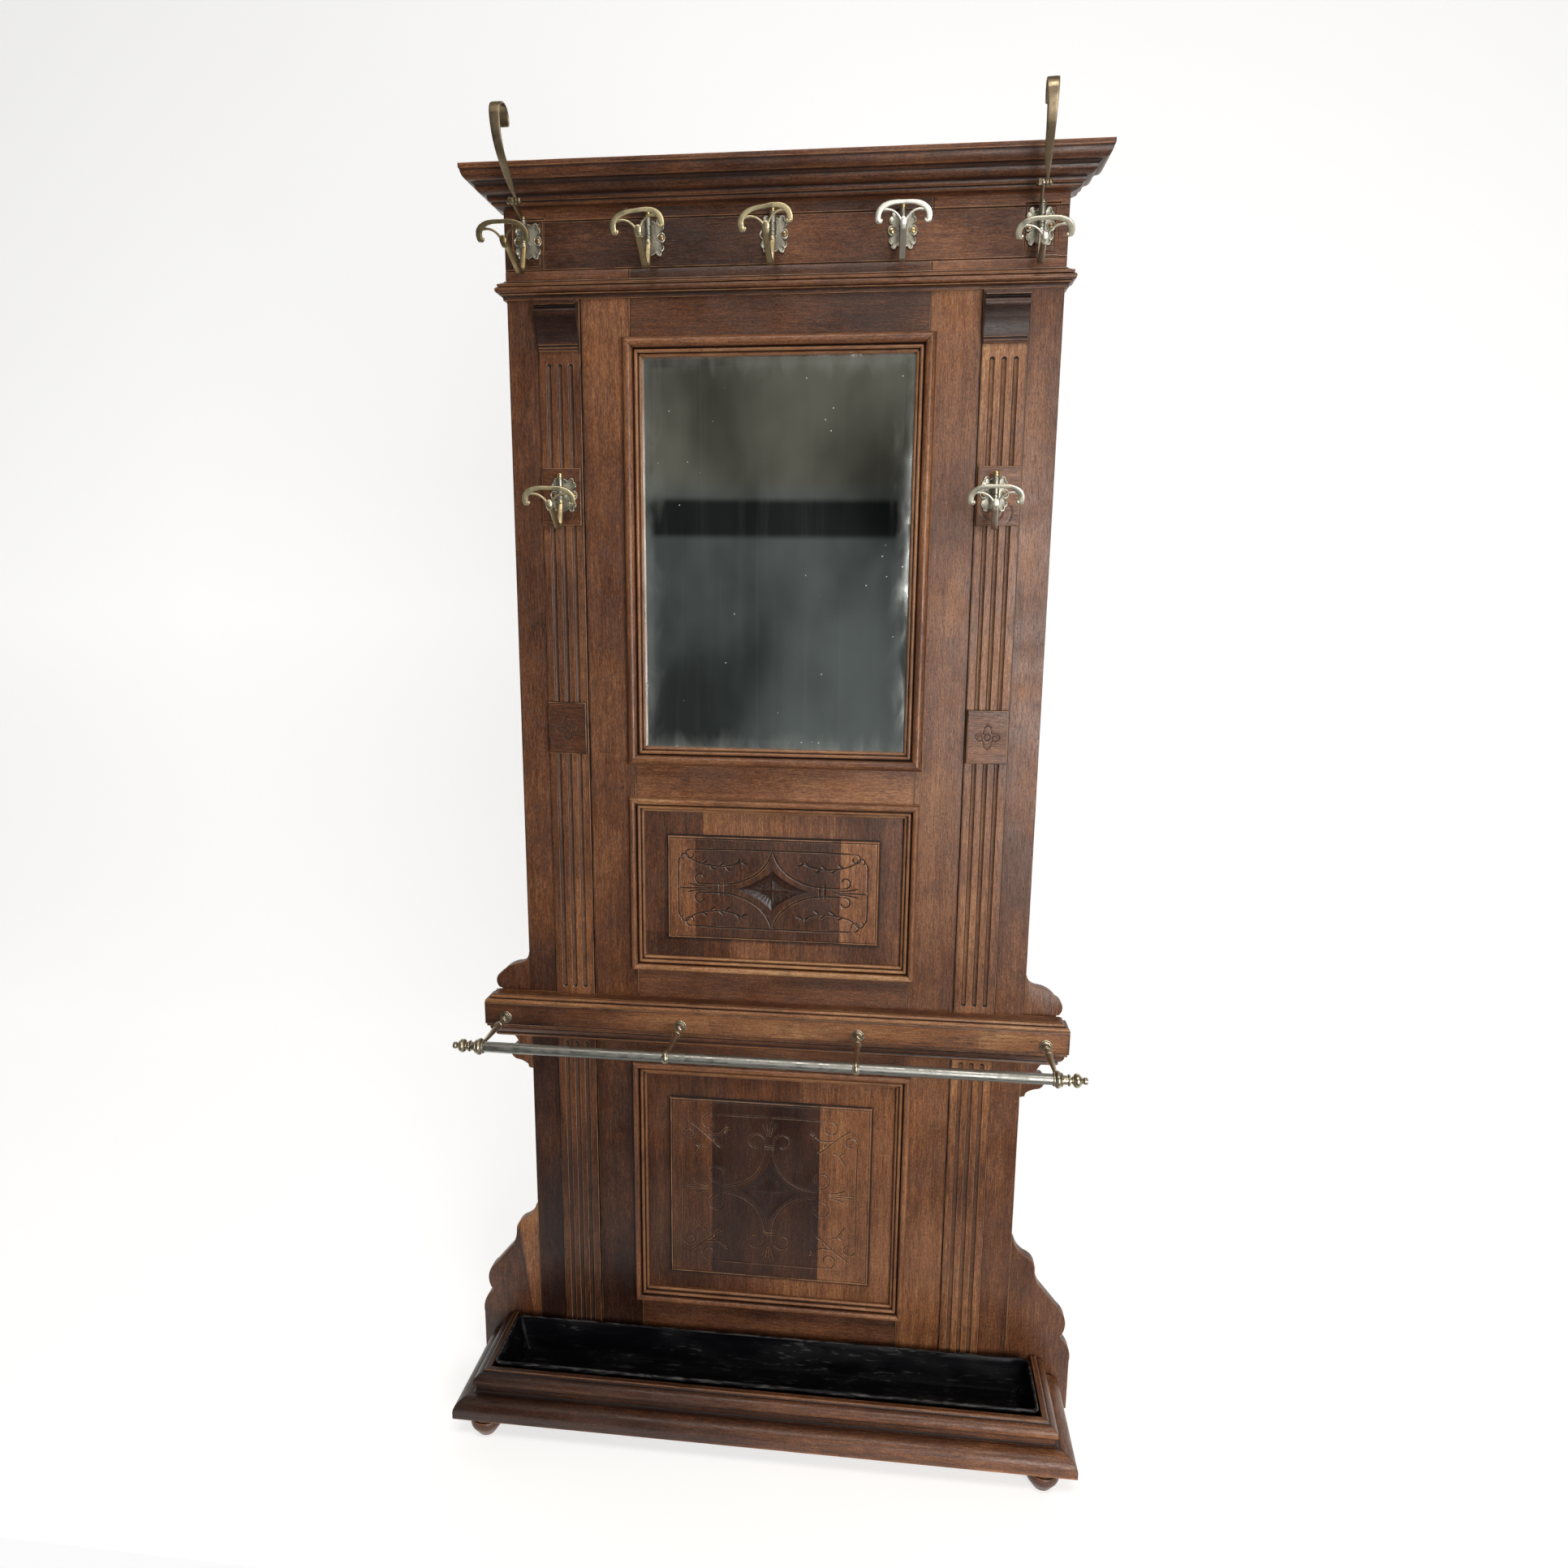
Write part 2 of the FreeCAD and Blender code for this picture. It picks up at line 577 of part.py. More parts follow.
# ---- Hooks -------------------------------------------------------------------------
def hook_plate(x, z, wall):
    """Scalloped back plate with a vertical barrel on a short web."""
    hw = PLATE_W / 2
    hh = PLATE_H / 2
    lobes = [(0, hh), (9, hh - 5), (13, hh + 0.5, 17.5, hh - 6), (22, hh - 13, 17, 9),
             (hw + 0.6, 0, 17, -9), (22, -hh + 13, 17.5, -hh + 6),
             (13, -hh - 0.5, 9, -hh + 5), (0, -hh)]
    other = []
    ends = [step[-2:] for step in lobes]
    for index in range(len(lobes) - 1, 0, -1):
        end = (-ends[index - 1][0], ends[index - 1][1])
        step = lobes[index]
        middle = (-step[0], step[1]) if len(step) == 4 else ()
        other.append(middle + end)
    steps = lobes[1:] + other[:-1]
    if len(other[-1]) == 4:
        steps.append(other[-1])
    face = outline(lobes[0], steps, lambda a, b: V(x + a, wall, z + b))
    plate = face.extrude(V(0, -PLATE_T, 0))
    axis_y = wall - BARREL_OUT
    z0 = z + BARREL_Z[0]
    tall = BARREL_Z[1] - BARREL_Z[0]
    barrel = Part.makeCylinder(BARREL_R, tall, V(x, axis_y, z0))
    web = box(x - 3.6, x + 3.6, axis_y, wall - PLATE_T, z0 + 2, z0 + tall - 5)
    bore = Part.makeCylinder(PIN_R + PIN_CLEARANCE, tall, V(x, axis_y, z0))
    whole = fused([plate, barrel, web]).cut(bore)
    for side in (-1, 1):
        hole = Part.makeCylinder(2.2, PLATE_T, V(x + side * SCREW_X, wall, z), V(0, -1, 0))
        whole = whole.cut(hole)
    return whole


def plate_screw(x, z, wall):
    """Slotted round-head screw. Its shank stops in the wood behind the plate."""
    face = wall - PLATE_T
    head = Part.makeCylinder(4.4, 1.6, V(x, face, z), V(0, -1, 0))
    edges = [e for e in head.Edges if all(v.Y < face - 1.5 for v in e.Vertexes)]
    head = head.makeFillet(0.9, edges)
    shank = Part.makeCylinder(2.2, PLATE_T, V(x, wall, z), V(0, -1, 0))
    slot = box(x - 5, x + 5, face - 2, face - 0.9, z - 0.5, z + 0.5)
    return fused([head, shank]).cut(slot)


def hook_arm(roll, droop, has_hat_arm):
    """Pin, U-bent strap, forked braces and a crossbar with curled ends, in one
    casting. Built at the origin, with the pin's axis on +Z and pointing to -Y."""
    tilt = math.radians(-droop)
    pivot_out, pivot_up = BARREL_OUT, BARREL_Z[0] - 6

    def hung(across, out, up):
        """Droop about the bottom of the pin, after the roll of the crossbar."""
        c = math.cos(tilt)
        s = math.sin(tilt)
        a = out - pivot_out
        b = up - pivot_up
        return V(across, -(a * c - b * s), pivot_up + a * s + b * c)

    def strap_point(out, up):
        return hung(-STRAP_W / 2, out, up)

    pin_top = BARREL_Z[1] + RUN_GAP
    pin = Part.makeCylinder(PIN_R, pin_top + 12, V(0, 0, -12))
    collar = Part.makeCylinder(BARREL_R, 7, V(0, 0, BARREL_Z[0] - RUN_GAP - 7))
    strap_steps = [("line", 37.0), ("turn", 14.0, 98.0), ("line", 67.0)]
    strap = ribbon((BARREL_OUT, BARREL_Z[0] - 4.5), -68.0, strap_steps, STRAP_T, strap_point)
    direction = V(STRAP_W, 0, 0)
    shapes = [pin, collar, strap.extrude(direction)]

    turn = math.radians(roll)
    lean = math.radians(70.0)

    def bar_point(s, t):
        across = s * math.cos(turn) + t * math.sin(turn)
        rise = t * math.cos(turn) - s * math.sin(turn)
        return hung(across, BAR_OUT + rise * math.cos(lean), rise * math.sin(lean))

    middle = bar_point(0, 0)
    normal = (bar_point(1, 0) - middle).cross(bar_point(0, 1) - middle)
    half_bar = [(0, 1), (24, -2.6), (33.5, -9.5), (BAR_HALF, -21)]
    neck = -27.0
    for side in (-1, 1):
        shapes += flat_bar([bar_point(side * s, t) for s, t in half_bar], 3.8, normal)
        shapes += flat_bar([bar_point(side * BAR_HALF, -21)], 5.0, normal)
        brace = [(2, neck), (11, -12.5), (30, -7)]
        shapes += flat_bar([bar_point(side * s, t) for s, t in brace], 2.2, normal)
    shapes += flat_bar([bar_point(0, neck - 3), bar_point(0, neck + 3)], 4.6, normal)

    if has_hat_arm:
        post_top = Part.makeCylinder(BARREL_R, 5, V(0, 0, pin_top))
        rise = KNUCKLE[1] - BARREL_Z[1] - 3
        run = KNUCKLE[0] - BARREL_OUT
        heading = math.degrees(math.atan2(rise, run))
        eye_x = -RUN_GAP / 2 - 5
        lug = ribbon((BARREL_OUT, BARREL_Z[1] + 3), heading,
                     [("line", math.hypot(run, rise))], 5.0,
                     lambda out, up: V(eye_x, BARREL_OUT - out, up))
        centre = V(eye_x, BARREL_OUT - KNUCKLE[0], KNUCKLE[1])
        eye = Part.makeCylinder(KNUCKLE_R, 5, centre, V(1, 0, 0))
        foot = box(eye_x, 3, -5, 5, pin_top, pin_top + 5)
        shapes += [post_top, lug.extrude(V(5, 0, 0)), eye, foot]
    arm = fused(shapes)
    if has_hat_arm:
        arm = arm.cut(Part.makeCylinder(BOLT_R, 30, centre - V(10, 0, 0), V(1, 0, 0)))
    return arm


def pin_cap():
    """Turned brass cap that keeps the pin in its barrel."""
    z = BARREL_Z[1] + RUN_GAP
    return lathe(V(0, 0, z), V(0, 0, 1), [(0, 4.6), (1, 5.2), (3, 5.2), (6.6, 5.0), (7.4, 4.2)])


def hat_arm():
    """Flat strap that rises forward from its eye, widens, and curls back on top."""
    eye_x = RUN_GAP / 2
    widest = 19.0

    def strap_point(out, up):
        return V(-widest / 2, BARREL_OUT - out, up)

    steps = [("line", 66.0), ("turn", 70.0, 50.7), ("turn", 20.0, 192.0)]
    face = ribbon(KNUCKLE, 39.3, steps, 3.0, strap_point)
    strap = face.extrude(V(widest, 0, 0))
    up0 = KNUCKLE[1] - 6
    clear = KNUCKLE[1] + KNUCKLE_R + 3
    up1 = KNUCKLE[1] + 125
    corners = [(eye_x, up0), (eye_x + 5, up0), (eye_x + 5, clear), (6.5, clear + 14),
               (widest / 2, up1), (-widest / 2, up1), (-5.5, clear + 18),
               (eye_x - 4, clear + 8), (eye_x, clear), (eye_x, up0)]
    taper = Part.makePolygon([V(x, -200, z) for x, z in corners])
    strap = strap.common(Part.Face(taper).extrude(V(0, 300, 0)))
    centre = V(eye_x, BARREL_OUT - KNUCKLE[0], KNUCKLE[1])
    eye = Part.makeCylinder(KNUCKLE_R, 5, centre, V(1, 0, 0))
    arm = fused([strap, eye])
    return arm.cut(Part.makeCylinder(BOLT_R + PIN_CLEARANCE, 30, centre - V(10, 0, 0), V(1, 0, 0)))


def hat_bolt():
    """Bolt through both eyes, with a round brass head and a square nut."""
    y = BARREL_OUT - KNUCKLE[0]
    z = KNUCKLE[1]
    eye_outer = 5 + RUN_GAP / 2
    start = V(-eye_outer, y, z)
    shank = Part.makeCylinder(BOLT_R, 2 * eye_outer + RUN_GAP, start, V(1, 0, 0))
    head = lathe(V(eye_outer + RUN_GAP, y, z), V(1, 0, 0), [(0, 5), (3.4, 5), (5.6, 4.2, 6.2, 1.5)])
    nut = box(-eye_outer - 5, -eye_outer, y - 5, y + 5, z - 5, z + 5)
    return fused([shank, head, nut])


def hooks():
    plates = []
    screws = []
    for name, x, z, wall, swivel, roll, droop, has_hat_arm in HOOKS:
        plates.append(hook_plate(x, z, wall))
        for side in (-1, 1):
            screws.append(plate_screw(x + side * SCREW_X, z, wall))

        def placed(shape):
            turned = shape.rotated(V(0, 0, 0), V(0, 0, 1), swivel)
            return turned.translated(V(x, wall - BARREL_OUT, z))

        add(name, placed(hook_arm(roll, droop, has_hat_arm)))
        number = name[-1]
        if has_hat_arm:
            add("hat_arm_" + number, placed(hat_arm()))
            add("hat_bolt_" + number, placed(hat_bolt()))
        else:
            add("pin_cap_" + number, placed(pin_cap()))
    add("hook_plates", *plates)
    add("plate_screws", *screws)


# ---- Build ----------------------------------------------------------------------------
def build():
    stiles()
    pilasters()
    pilaster_blocks()
    corbels()
    rails()
    panel("lower_panel", LOWER_FRAME, LOWER_FIELD_Z)
    panel("middle_panel", MIDDLE_FRAME, MIDDLE_FIELD_Z)
    opening_moulding("lower_panel_moulding", LOWER_FRAME)
    opening_moulding("middle_panel_moulding", MIDDLE_FRAME)
    opening_moulding("mirror_moulding", MIRROR_FRAME)
    mirror_and_back()
    frieze()
    cornice()
    beam()
    brackets()
    wings()
    plinth()
    feet()
    drip_tray()
    umbrella_rail()
    hooks()


build()
os.makedirs("parts", exist_ok=True)
for node, shape in parts.items():
    shape.exportStep("parts/" + node + ".step")
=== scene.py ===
import bmesh
import bpy
import math
import numpy as np
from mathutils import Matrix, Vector


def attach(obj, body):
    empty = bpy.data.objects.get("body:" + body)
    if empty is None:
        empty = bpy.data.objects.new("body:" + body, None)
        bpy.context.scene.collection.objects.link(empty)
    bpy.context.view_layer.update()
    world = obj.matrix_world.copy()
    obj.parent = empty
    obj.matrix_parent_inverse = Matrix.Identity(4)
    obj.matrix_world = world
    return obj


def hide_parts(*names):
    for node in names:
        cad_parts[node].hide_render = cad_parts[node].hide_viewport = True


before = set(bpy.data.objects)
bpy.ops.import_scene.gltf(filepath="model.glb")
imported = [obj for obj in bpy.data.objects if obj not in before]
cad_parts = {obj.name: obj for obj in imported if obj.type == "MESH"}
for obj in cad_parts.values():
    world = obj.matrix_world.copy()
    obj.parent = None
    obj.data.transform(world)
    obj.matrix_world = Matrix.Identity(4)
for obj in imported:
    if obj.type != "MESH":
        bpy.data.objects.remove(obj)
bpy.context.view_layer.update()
MM = 0.001
FAR = 9e3                           # beyond the object, and a grid step that adds no lines
HALVES = ((-FAR, 0), (0, FAR))      # left and right of the middle
OUTWARDS, UPWARDS = (0, -1, 0), (0, 0, 1)

# Every shape below is worked out in millimetres, in the row frame, from the CAD boxes.


# ---- Sizes read from the frame -------------------------------------------------------
def cad_points(node):
    return np.array([v.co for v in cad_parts[node].data.vertices]) / MM


def cad(node, x_from=-FAR, x_to=FAR):
    """(x0, x1, y0, y1, z0, z1) of a CAD node, or of its part between two x."""
    points = cad_points(node)
    kept = points[(points[:, 0] > x_from) & (points[:, 0] < x_to)]
    lo, hi = kept.min(0), kept.max(0)
    return lo[0], hi[0], lo[1], hi[1], lo[2], hi[2]


FACE_Y, BACK_Y = cad("inner_stile_left")[2:4]
CARCASS_HALF = cad("outer_stile_right")[1]


# ---- Collecting closed shells into pieces --------------------------------------------
class Shells:
    """Closed shells that become one mesh. Each shell has its own grain direction."""
    count = 0

    def __init__(self):
        self.points = []
        self.faces = []
        self.grain = []
        self.tone = []
        self.total = 0

    def add(self, points, faces, axis="x", tone=0.5):
        points = np.asarray(points, float).reshape(-1, 3)
        order = {"x": (0, 2, 1), "y": (1, 0, 2), "z": (2, 0, 1)}[axis]
        Shells.count += 1
        shift = np.modf(Shells.count * np.array([0.618, 0.377, 0.731]))[0] * 4000
        self.points.append(points)
        self.grain.append(points[:, order] + shift)
        self.tone.append(np.broadcast_to(np.asarray(tone, float), len(points)))
        self.faces += [tuple(i + self.total for i in face) for face in faces]
        self.total += len(points)

    def piece(self, name, body, nodes, slot, smooth=38.0):
        mesh = bpy.data.meshes.new(name)
        mesh.from_pydata(np.concatenate(self.points) * MM, [], self.faces)
        work = bmesh.new()
        work.from_mesh(mesh)
        bmesh.ops.recalc_face_normals(work, faces=work.faces)
        work.to_mesh(mesh)
        work.free()
        store(mesh, "grain", "FLOAT_VECTOR", np.concatenate(self.grain) * MM)
        store(mesh, "tone", "FLOAT", np.concatenate(self.tone))
        store(mesh, "edge", "FLOAT", curvature(mesh))
        mesh.shade_smooth()
        mesh.set_sharp_from_angle(angle=math.radians(smooth))
        mesh.materials.append(MATERIALS[slot])
        obj = bpy.data.objects.new(name, mesh)
        bpy.context.scene.collection.objects.link(obj)
        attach(obj, body)
        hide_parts(*nodes)
        return obj

    def wood(self, node):
        """A walnut piece of the stand, in place of one CAD node."""
        self.piece("wood_" + node, "stand", [node], "walnut")


def store(mesh, name, kind, values):
    attribute = mesh.attributes.new(name, kind, "POINT")
    key = "vector" if kind == "FLOAT_VECTOR" else "value"
    attribute.data.foreach_set(key, np.asarray(values, np.float32).ravel())


def values_of(items, key, width=1, kind=float):
    """One row for each item of a mesh, or one value where width is 1."""
    values = np.empty(len(items) * width, kind)
    items.foreach_get(key, values)
    return values.reshape(-1, width) if width > 1 else values


def curvature(mesh):
    """Mean curvature at each vertex, per millimetre: above 0 on arrises, below 0 in
    grooves. It tells a material where hands have rubbed and where dirt has settled."""
    count = len(mesh.polygons)
    normals = values_of(mesh.polygons, "normal", 3)
    centres = values_of(mesh.polygons, "center", 3)
    areas = values_of(mesh.polygons, "area")
    totals = values_of(mesh.polygons, "loop_total", kind=int)
    edge_of = values_of(mesh.loops, "edge_index", kind=int)
    vertex_of = values_of(mesh.loops, "vertex_index", kind=int)
    face_of = np.repeat(np.arange(count), totals)
    order = np.argsort(edge_of, kind="stable")
    edges = edge_of[order]
    faces = face_of[order]
    pair = np.nonzero(edges[1:] == edges[:-1])[0]
    a, b = faces[pair], faces[pair + 1]
    ends = values_of(mesh.edges, "vertices", 2, int)[edges[pair]]
    place = values_of(mesh.vertices, "co", 3)
    length = np.linalg.norm(place[ends[:, 0]] - place[ends[:, 1]], axis=1)
    turn = np.arccos(np.clip((normals[a] * normals[b]).sum(1), -1, 1))
    sign = -np.sign((normals[a] * (centres[b] - centres[a])).sum(1))
    bend = np.zeros(len(place))
    for side in (0, 1):
        np.add.at(bend, ends[:, side], turn * sign * length / 4)
    area = np.zeros(len(place))
    np.add.at(area, vertex_of, areas[face_of] / totals[face_of])
    return np.clip(bend / np.maximum(area, 1e-9) * MM, -1, 1)


# ---- Shapes --------------------------------------------------------------------------
def ripple(a, b, seed=0.0):
    """Slow uneven waves between about -1 and 1, as planed and worn wood has."""
    s = seed * 1.7
    wave = np.sin(a / 37 + s) * np.sin(b / 29 - s * 2.1)
    wave = wave + 0.6 * np.sin(a / 13.7 + b / 17.3 + s * 3.3) + 0.5 * np.sin(a / 61 - b / 83 + s)
    return wave / 2.1


def arc_points(p, m, q, chord):
    """Points of the circle through p, m and q, after p and up to q."""
    p, m, q = (np.asarray(v, float) for v in (p, m, q))
    d = 2 * (p[0] * (m[1] - q[1]) + m[0] * (q[1] - p[1]) + q[0] * (p[1] - m[1]))
    if abs(d) < 1e-9:
        return [q]
    pp, mm, qq = (v @ v for v in (p, m, q))
    centre = np.array([pp * (m[1] - q[1]) + mm * (q[1] - p[1]) + qq * (p[1] - m[1]),
                       pp * (q[0] - m[0]) + mm * (p[0] - q[0]) + qq * (m[0] - p[0])]) / d
    radius = np.linalg.norm(p - centre)
    angles = [math.atan2(*(v - centre)[::-1]) for v in (p, m, q)]
    full = 2 * math.pi
    sweep = (angles[2] - angles[0]) % full
    if (angles[1] - angles[0]) % full > sweep:
        sweep -= full
    steps = max(2, int(abs(sweep) * radius / chord) + 1)
    turned = angles[0] + sweep * np.arange(1, steps + 1) / steps
    return list(centre + radius * np.stack([np.cos(turned), np.sin(turned)], 1))


def outline(start, steps, chord=1.3):
    """Points along a line of (x, y) lines and (middle x, middle y, x, y) arcs."""
    points = [np.asarray(start, float)]
    for step in steps:
        if len(step) == 4:
            points += arc_points(points[-1], step[:2], step[2:], chord)
        else:
            points.append(np.asarray(step, float))
    return points


def moved(steps, x, z):
    """The steps of an outline, moved by (x, z)."""
    return [tuple(value + (x, z)[k % 2] for k, value in enumerate(step)) for step in steps]


def soften(points, radius, closed=True, least=25.0):
    """Rounds each corner that turns by more than least degrees."""
    count = len(points)
    made = []
    for i, here in enumerate(points):
        if not closed and i in (0, count - 1):
            made.append(here)
            continue
        before = points[i - 1] - here
        after = points[(i + 1) % count] - here
        la, lb = np.linalg.norm(before), np.linalg.norm(after)
        if la < 1e-6 or lb < 1e-6:
            continue
        turn = math.degrees(math.acos(np.clip(-(before @ after) / la / lb, -1, 1)))
        if turn < least:
            made.append(here)
            continue
        cut = min(radius, 0.42 * la, 0.42 * lb)
        a = here + before / la * cut
        b = here + after / lb * cut
        for t in (0.0, 0.33, 0.67, 1.0):
            made.append(a * (1 - t) ** 2 + here * 2 * t * (1 - t) + b * t * t)
    return made


def grid_faces(rows, columns, wrap=False):
    """Quads of a grid of points, row after row. wrap joins the last column to the first."""
    faces = []
    for row in range(0, (rows - 1) * columns, columns):
        for j in range(columns if wrap else columns - 1):
            k = (j + 1) % columns
            faces.append((row + j, row + k, row + columns + k, row + columns + j))
    return faces


def capped_faces(rows, columns):
    """Quads of rows of points that each close on themselves, and the two end faces."""
    faces = grid_faces(rows, columns, wrap=True)
    return faces + [tuple(range(columns)), tuple(range((rows - 1) * columns, rows * columns))]


def lines(low, high, step, arris, extra=()):
    """Grid lines from low to high, close together at both ends, and at extra."""
    count = max(2, int((high - low - 2 * arris) / step) + 1)
    inner = np.linspace(low + arris, high - arris, count)
    edge = np.append(arris * np.array([0.0, 0.12, 0.35, 0.65]), arris + 1.5)
    made = np.concatenate([low + edge, inner, high - edge, [e for e in extra if low < e < high]])
    made = np.unique(np.round(made, 3))
    return made[np.concatenate([[True], np.diff(made) > 0.04])]


def rounded(inward, arris):
    """How far a rounded arris falls back at a distance inward from the edge."""
    t = np.clip(1 - inward / arris, 0, 1)
    return arris * (1 - np.sqrt(np.maximum(1 - t * t, 0)))


def slab(shells, x, z, y, axis="z", tone=0.5, arris=1.2, carve=None, step=16.0, warp=0.12,
         extra_x=(), extra_z=(), joint=0.45):
    """A board that faces -Y. carve(X, Z) gives how deep its face is cut at each point.
    joint is how much darker its edges are, where dirt fills the joint beside it."""
    xs = lines(*x, step, arris, extra_x)
    zs = lines(*z, step, arris, extra_z)
    X, Z = np.meshgrid(xs, zs, indexing="ij")
    inward = np.minimum(np.minimum(X - x[0], x[1] - X), np.minimum(Z - z[0], z[1] - Z))
    depth = rounded(inward, arris) + warp * ripple(X, Z, Shells.count) * np.clip(inward / 6, 0, 1)
    if carve is not None:
        depth = depth + carve(X, Z)
    front = np.stack([X, y[0] + depth, Z], -1).reshape(-1, 3)
    n, m = X.shape
    corners = np.array([(x[i], y[1], z[k]) for i, k in ((0, 0), (1, 0), (1, 1), (0, 1))])
    c = n * m
    faces = grid_faces(n, m)
    faces.append((c, c + 1, c + 2, c + 3))
    faces.append(tuple(range(0, m)) + (c + 3, c))
    faces.append(tuple(range((n - 1) * m, n * m)) + (c + 2, c + 1))
    faces.append(tuple(range(0, n * m, m)) + (c + 1, c))
    faces.append(tuple(range(m - 1, n * m, m)) + (c + 2, c + 3))
    face_tone = tone(X, Z) if callable(tone) else np.full(X.shape, tone)
    face_tone = face_tone - joint * np.clip(1.3 - inward / (arris + 0.9), 0, 1)
    back_tone = np.full(4, float(np.mean(face_tone)))
    shells.add(np.concatenate([front, corners]), faces, axis,
               np.concatenate([face_tone.ravel(), back_tone]))


def shaped_board(shells, points, y, axis="z", tone=0.5, arris=1.6):
    """A flat board with a sawn outline, given as (x, z) points, with rounded arrises."""
    points = np.asarray(points)
    before = np.roll(points, 1, 0)
    after = np.roll(points, -1, 0)
    along = after - before
    along /= np.linalg.norm(along, axis=1)[:, None]
    area = np.sum(points[:, 0] * after[:, 1] - after[:, 0] * points[:, 1])
    inward = np.stack([-along[:, 1], along[:, 0]], 1) * np.sign(area)
    rings = []
    for share in (1.0, 0.55, 0.2, 0.0):
        flat = points + inward * arris * share
        back = y[0] + arris - arris * math.sqrt(max(0.0, 1 - (1 - share) ** 2))
        rings.append(np.stack([flat[:, 0], np.full(len(flat), back), flat[:, 1]], 1))
    rings.append(np.stack([points[:, 0], np.full(len(points), y[1]), points[:, 1]], 1))
    made = np.concatenate(rings)
    if callable(tone):
        tone = tone(made[:, 0], made[:, 2])
    shells.add(made, capped_faces(len(rings), len(points)), axis, tone)


def divided(points, longest=2.4):
    """The same closed line, with points added so that none of its edges is longer."""
    made = []
    for a, b in zip(points, np.roll(points, -1, 0)):
        count = max(1, math.ceil(np.linalg.norm(b - a) / longest))
        made += [a + (b - a) * k / count for k in range(count)]
    return np.array(made)


def relief(profile, reach=3.2):
    """How far each point of a closed profile stands out (above 0) or lies back (below 0)
    from the middle of its neighbourhood, in millimetres."""
    after = np.roll(profile, -1, 0)
    run = after - np.roll(profile, 1, 0)
    length = np.linalg.norm(run, axis=1)
    area = np.sum(profile[:, 0] * after[:, 1] - after[:, 0] * profile[:, 1])
    outward = np.stack([run[:, 1], -run[:, 0]], 1) / length[:, None] * np.sign(area)
    gap = np.linalg.norm(profile[:, None] - profile[None], axis=2)
    share = np.exp(-(gap / reach) ** 2) * length
    middle = share @ profile / share.sum(1)[:, None]
    return ((profile - middle) * outward).sum(1)


def moulded(shells, profile, place, start, end, axis, tone=0.5, step=24.0, wear=0.18):
    """A length of moulding. profile is a closed loop of (reach, height); start(reach) and
    end(reach) say where a mitre cuts it, and place(along, reach, height) puts it in space.
    It is paler where it stands out, where it is rubbed, darker in its hollows, where shade is
    painted, and darker at its mitres."""
    profile = divided(np.asarray(profile))
    # Paler where the profile stands out: rubbed wear. Darker in its hollows: painted shade.
    rubbed_and_shaded = np.clip(0.42 * relief(profile), -0.36, 0.20)
    reach, height = profile[:, 0], profile[:, 1]
    long = abs(float(np.max(end(reach) - start(reach))))
    near_end = 1.6 / long
    shares = np.linspace(near_end, 1 - near_end, max(2, int(long / step) + 1))
    shares = np.concatenate([[0.0], shares, [1.0]])
    rows = []
    tones = []
    for t in shares:
        along = start(reach) * (1 - t) + end(reach) * t
        tones.append((tone(along) if callable(tone) else tone) + rubbed_and_shaded - 0.4 * (t in (0, 1)))
        rub = wear * ripple(along, reach * 3 + height * 2, Shells.count) * (0 < t < 1)
        rows.append(np.stack(place(along, reach, height - np.abs(rub)), -1))
    faces = capped_faces(len(shares), len(profile))
    shells.add(np.concatenate(rows), faces, axis, np.concatenate(tones))


def turned(shells, origin, axis, profile, segments=48, tone=0.5, chord=0.8, soft=0.6, ring=False,
           uneven=0.0):
    """A piece turned on a lathe. The profile is (distance along the axis, radius). Its
    ends are capped, or with ring it is a closed loop round a bore."""
    line = soften(outline(profile[0], profile[1:], chord), soft, closed=ring)
    origin = np.asarray(origin, float)
    axis = np.asarray(axis, float)
    side = np.array([0.0, 0.0, 1.0]) if abs(axis[2]) < 0.5 else np.array([1.0, 0.0, 0.0])
    other = np.cross(axis, side)
    angle = np.linspace(0, 2 * math.pi, segments, endpoint=False)
    around = np.outer(np.cos(angle), side) + np.outer(np.sin(angle), other)
    rows = []
    for a, r in line:
        waves = ripple(a * 1.7 + 0 * angle, 60 * np.sin(angle), Shells.count)
        radius = max(r, 0.01) * (1 + uneven * waves)
        rows.append(origin + axis * a + around * np.reshape(radius, (-1, 1)))
    if ring:
        count = len(rows) * segments
        faces = [tuple(i % count for i in face)
                 for face in grid_faces(len(rows) + 1, segments, wrap=True)]
    else:
        faces = capped_faces(len(rows), segments)
    shells.add(np.concatenate(rows), faces, "x", tone)


def smooth_line(points, spacing):
    """A curve through the points (Catmull-Rom), at an even spacing."""
    points = np.asarray(points, float)
    ends = [2 * points[0] - points[1]], [2 * points[-1] - points[-2]]
    padded = np.concatenate([ends[0], points, ends[1]])
    made = []
    for i in range(1, len(padded) - 2):
        a, b, c, d = padded[i - 1:i + 3]
        for t in np.linspace(0, 1, 16, endpoint=False):
            made.append(0.5 * (2 * b + (c - a) * t + (2 * a - 5 * b + 4 * c - d) * t * t
                               + (3 * b - a - 3 * c + d) * t ** 3))
    made = np.array(made + [padded[-2]])
    run = np.concatenate([[0], np.cumsum(np.linalg.norm(np.diff(made, axis=0), axis=1))])
    even = np.linspace(0, run[-1], max(3, int(run[-1] / spacing) + 1))
    return np.stack([np.interp(even, run, made[:, k]) for k in range(made.shape[1])], 1)


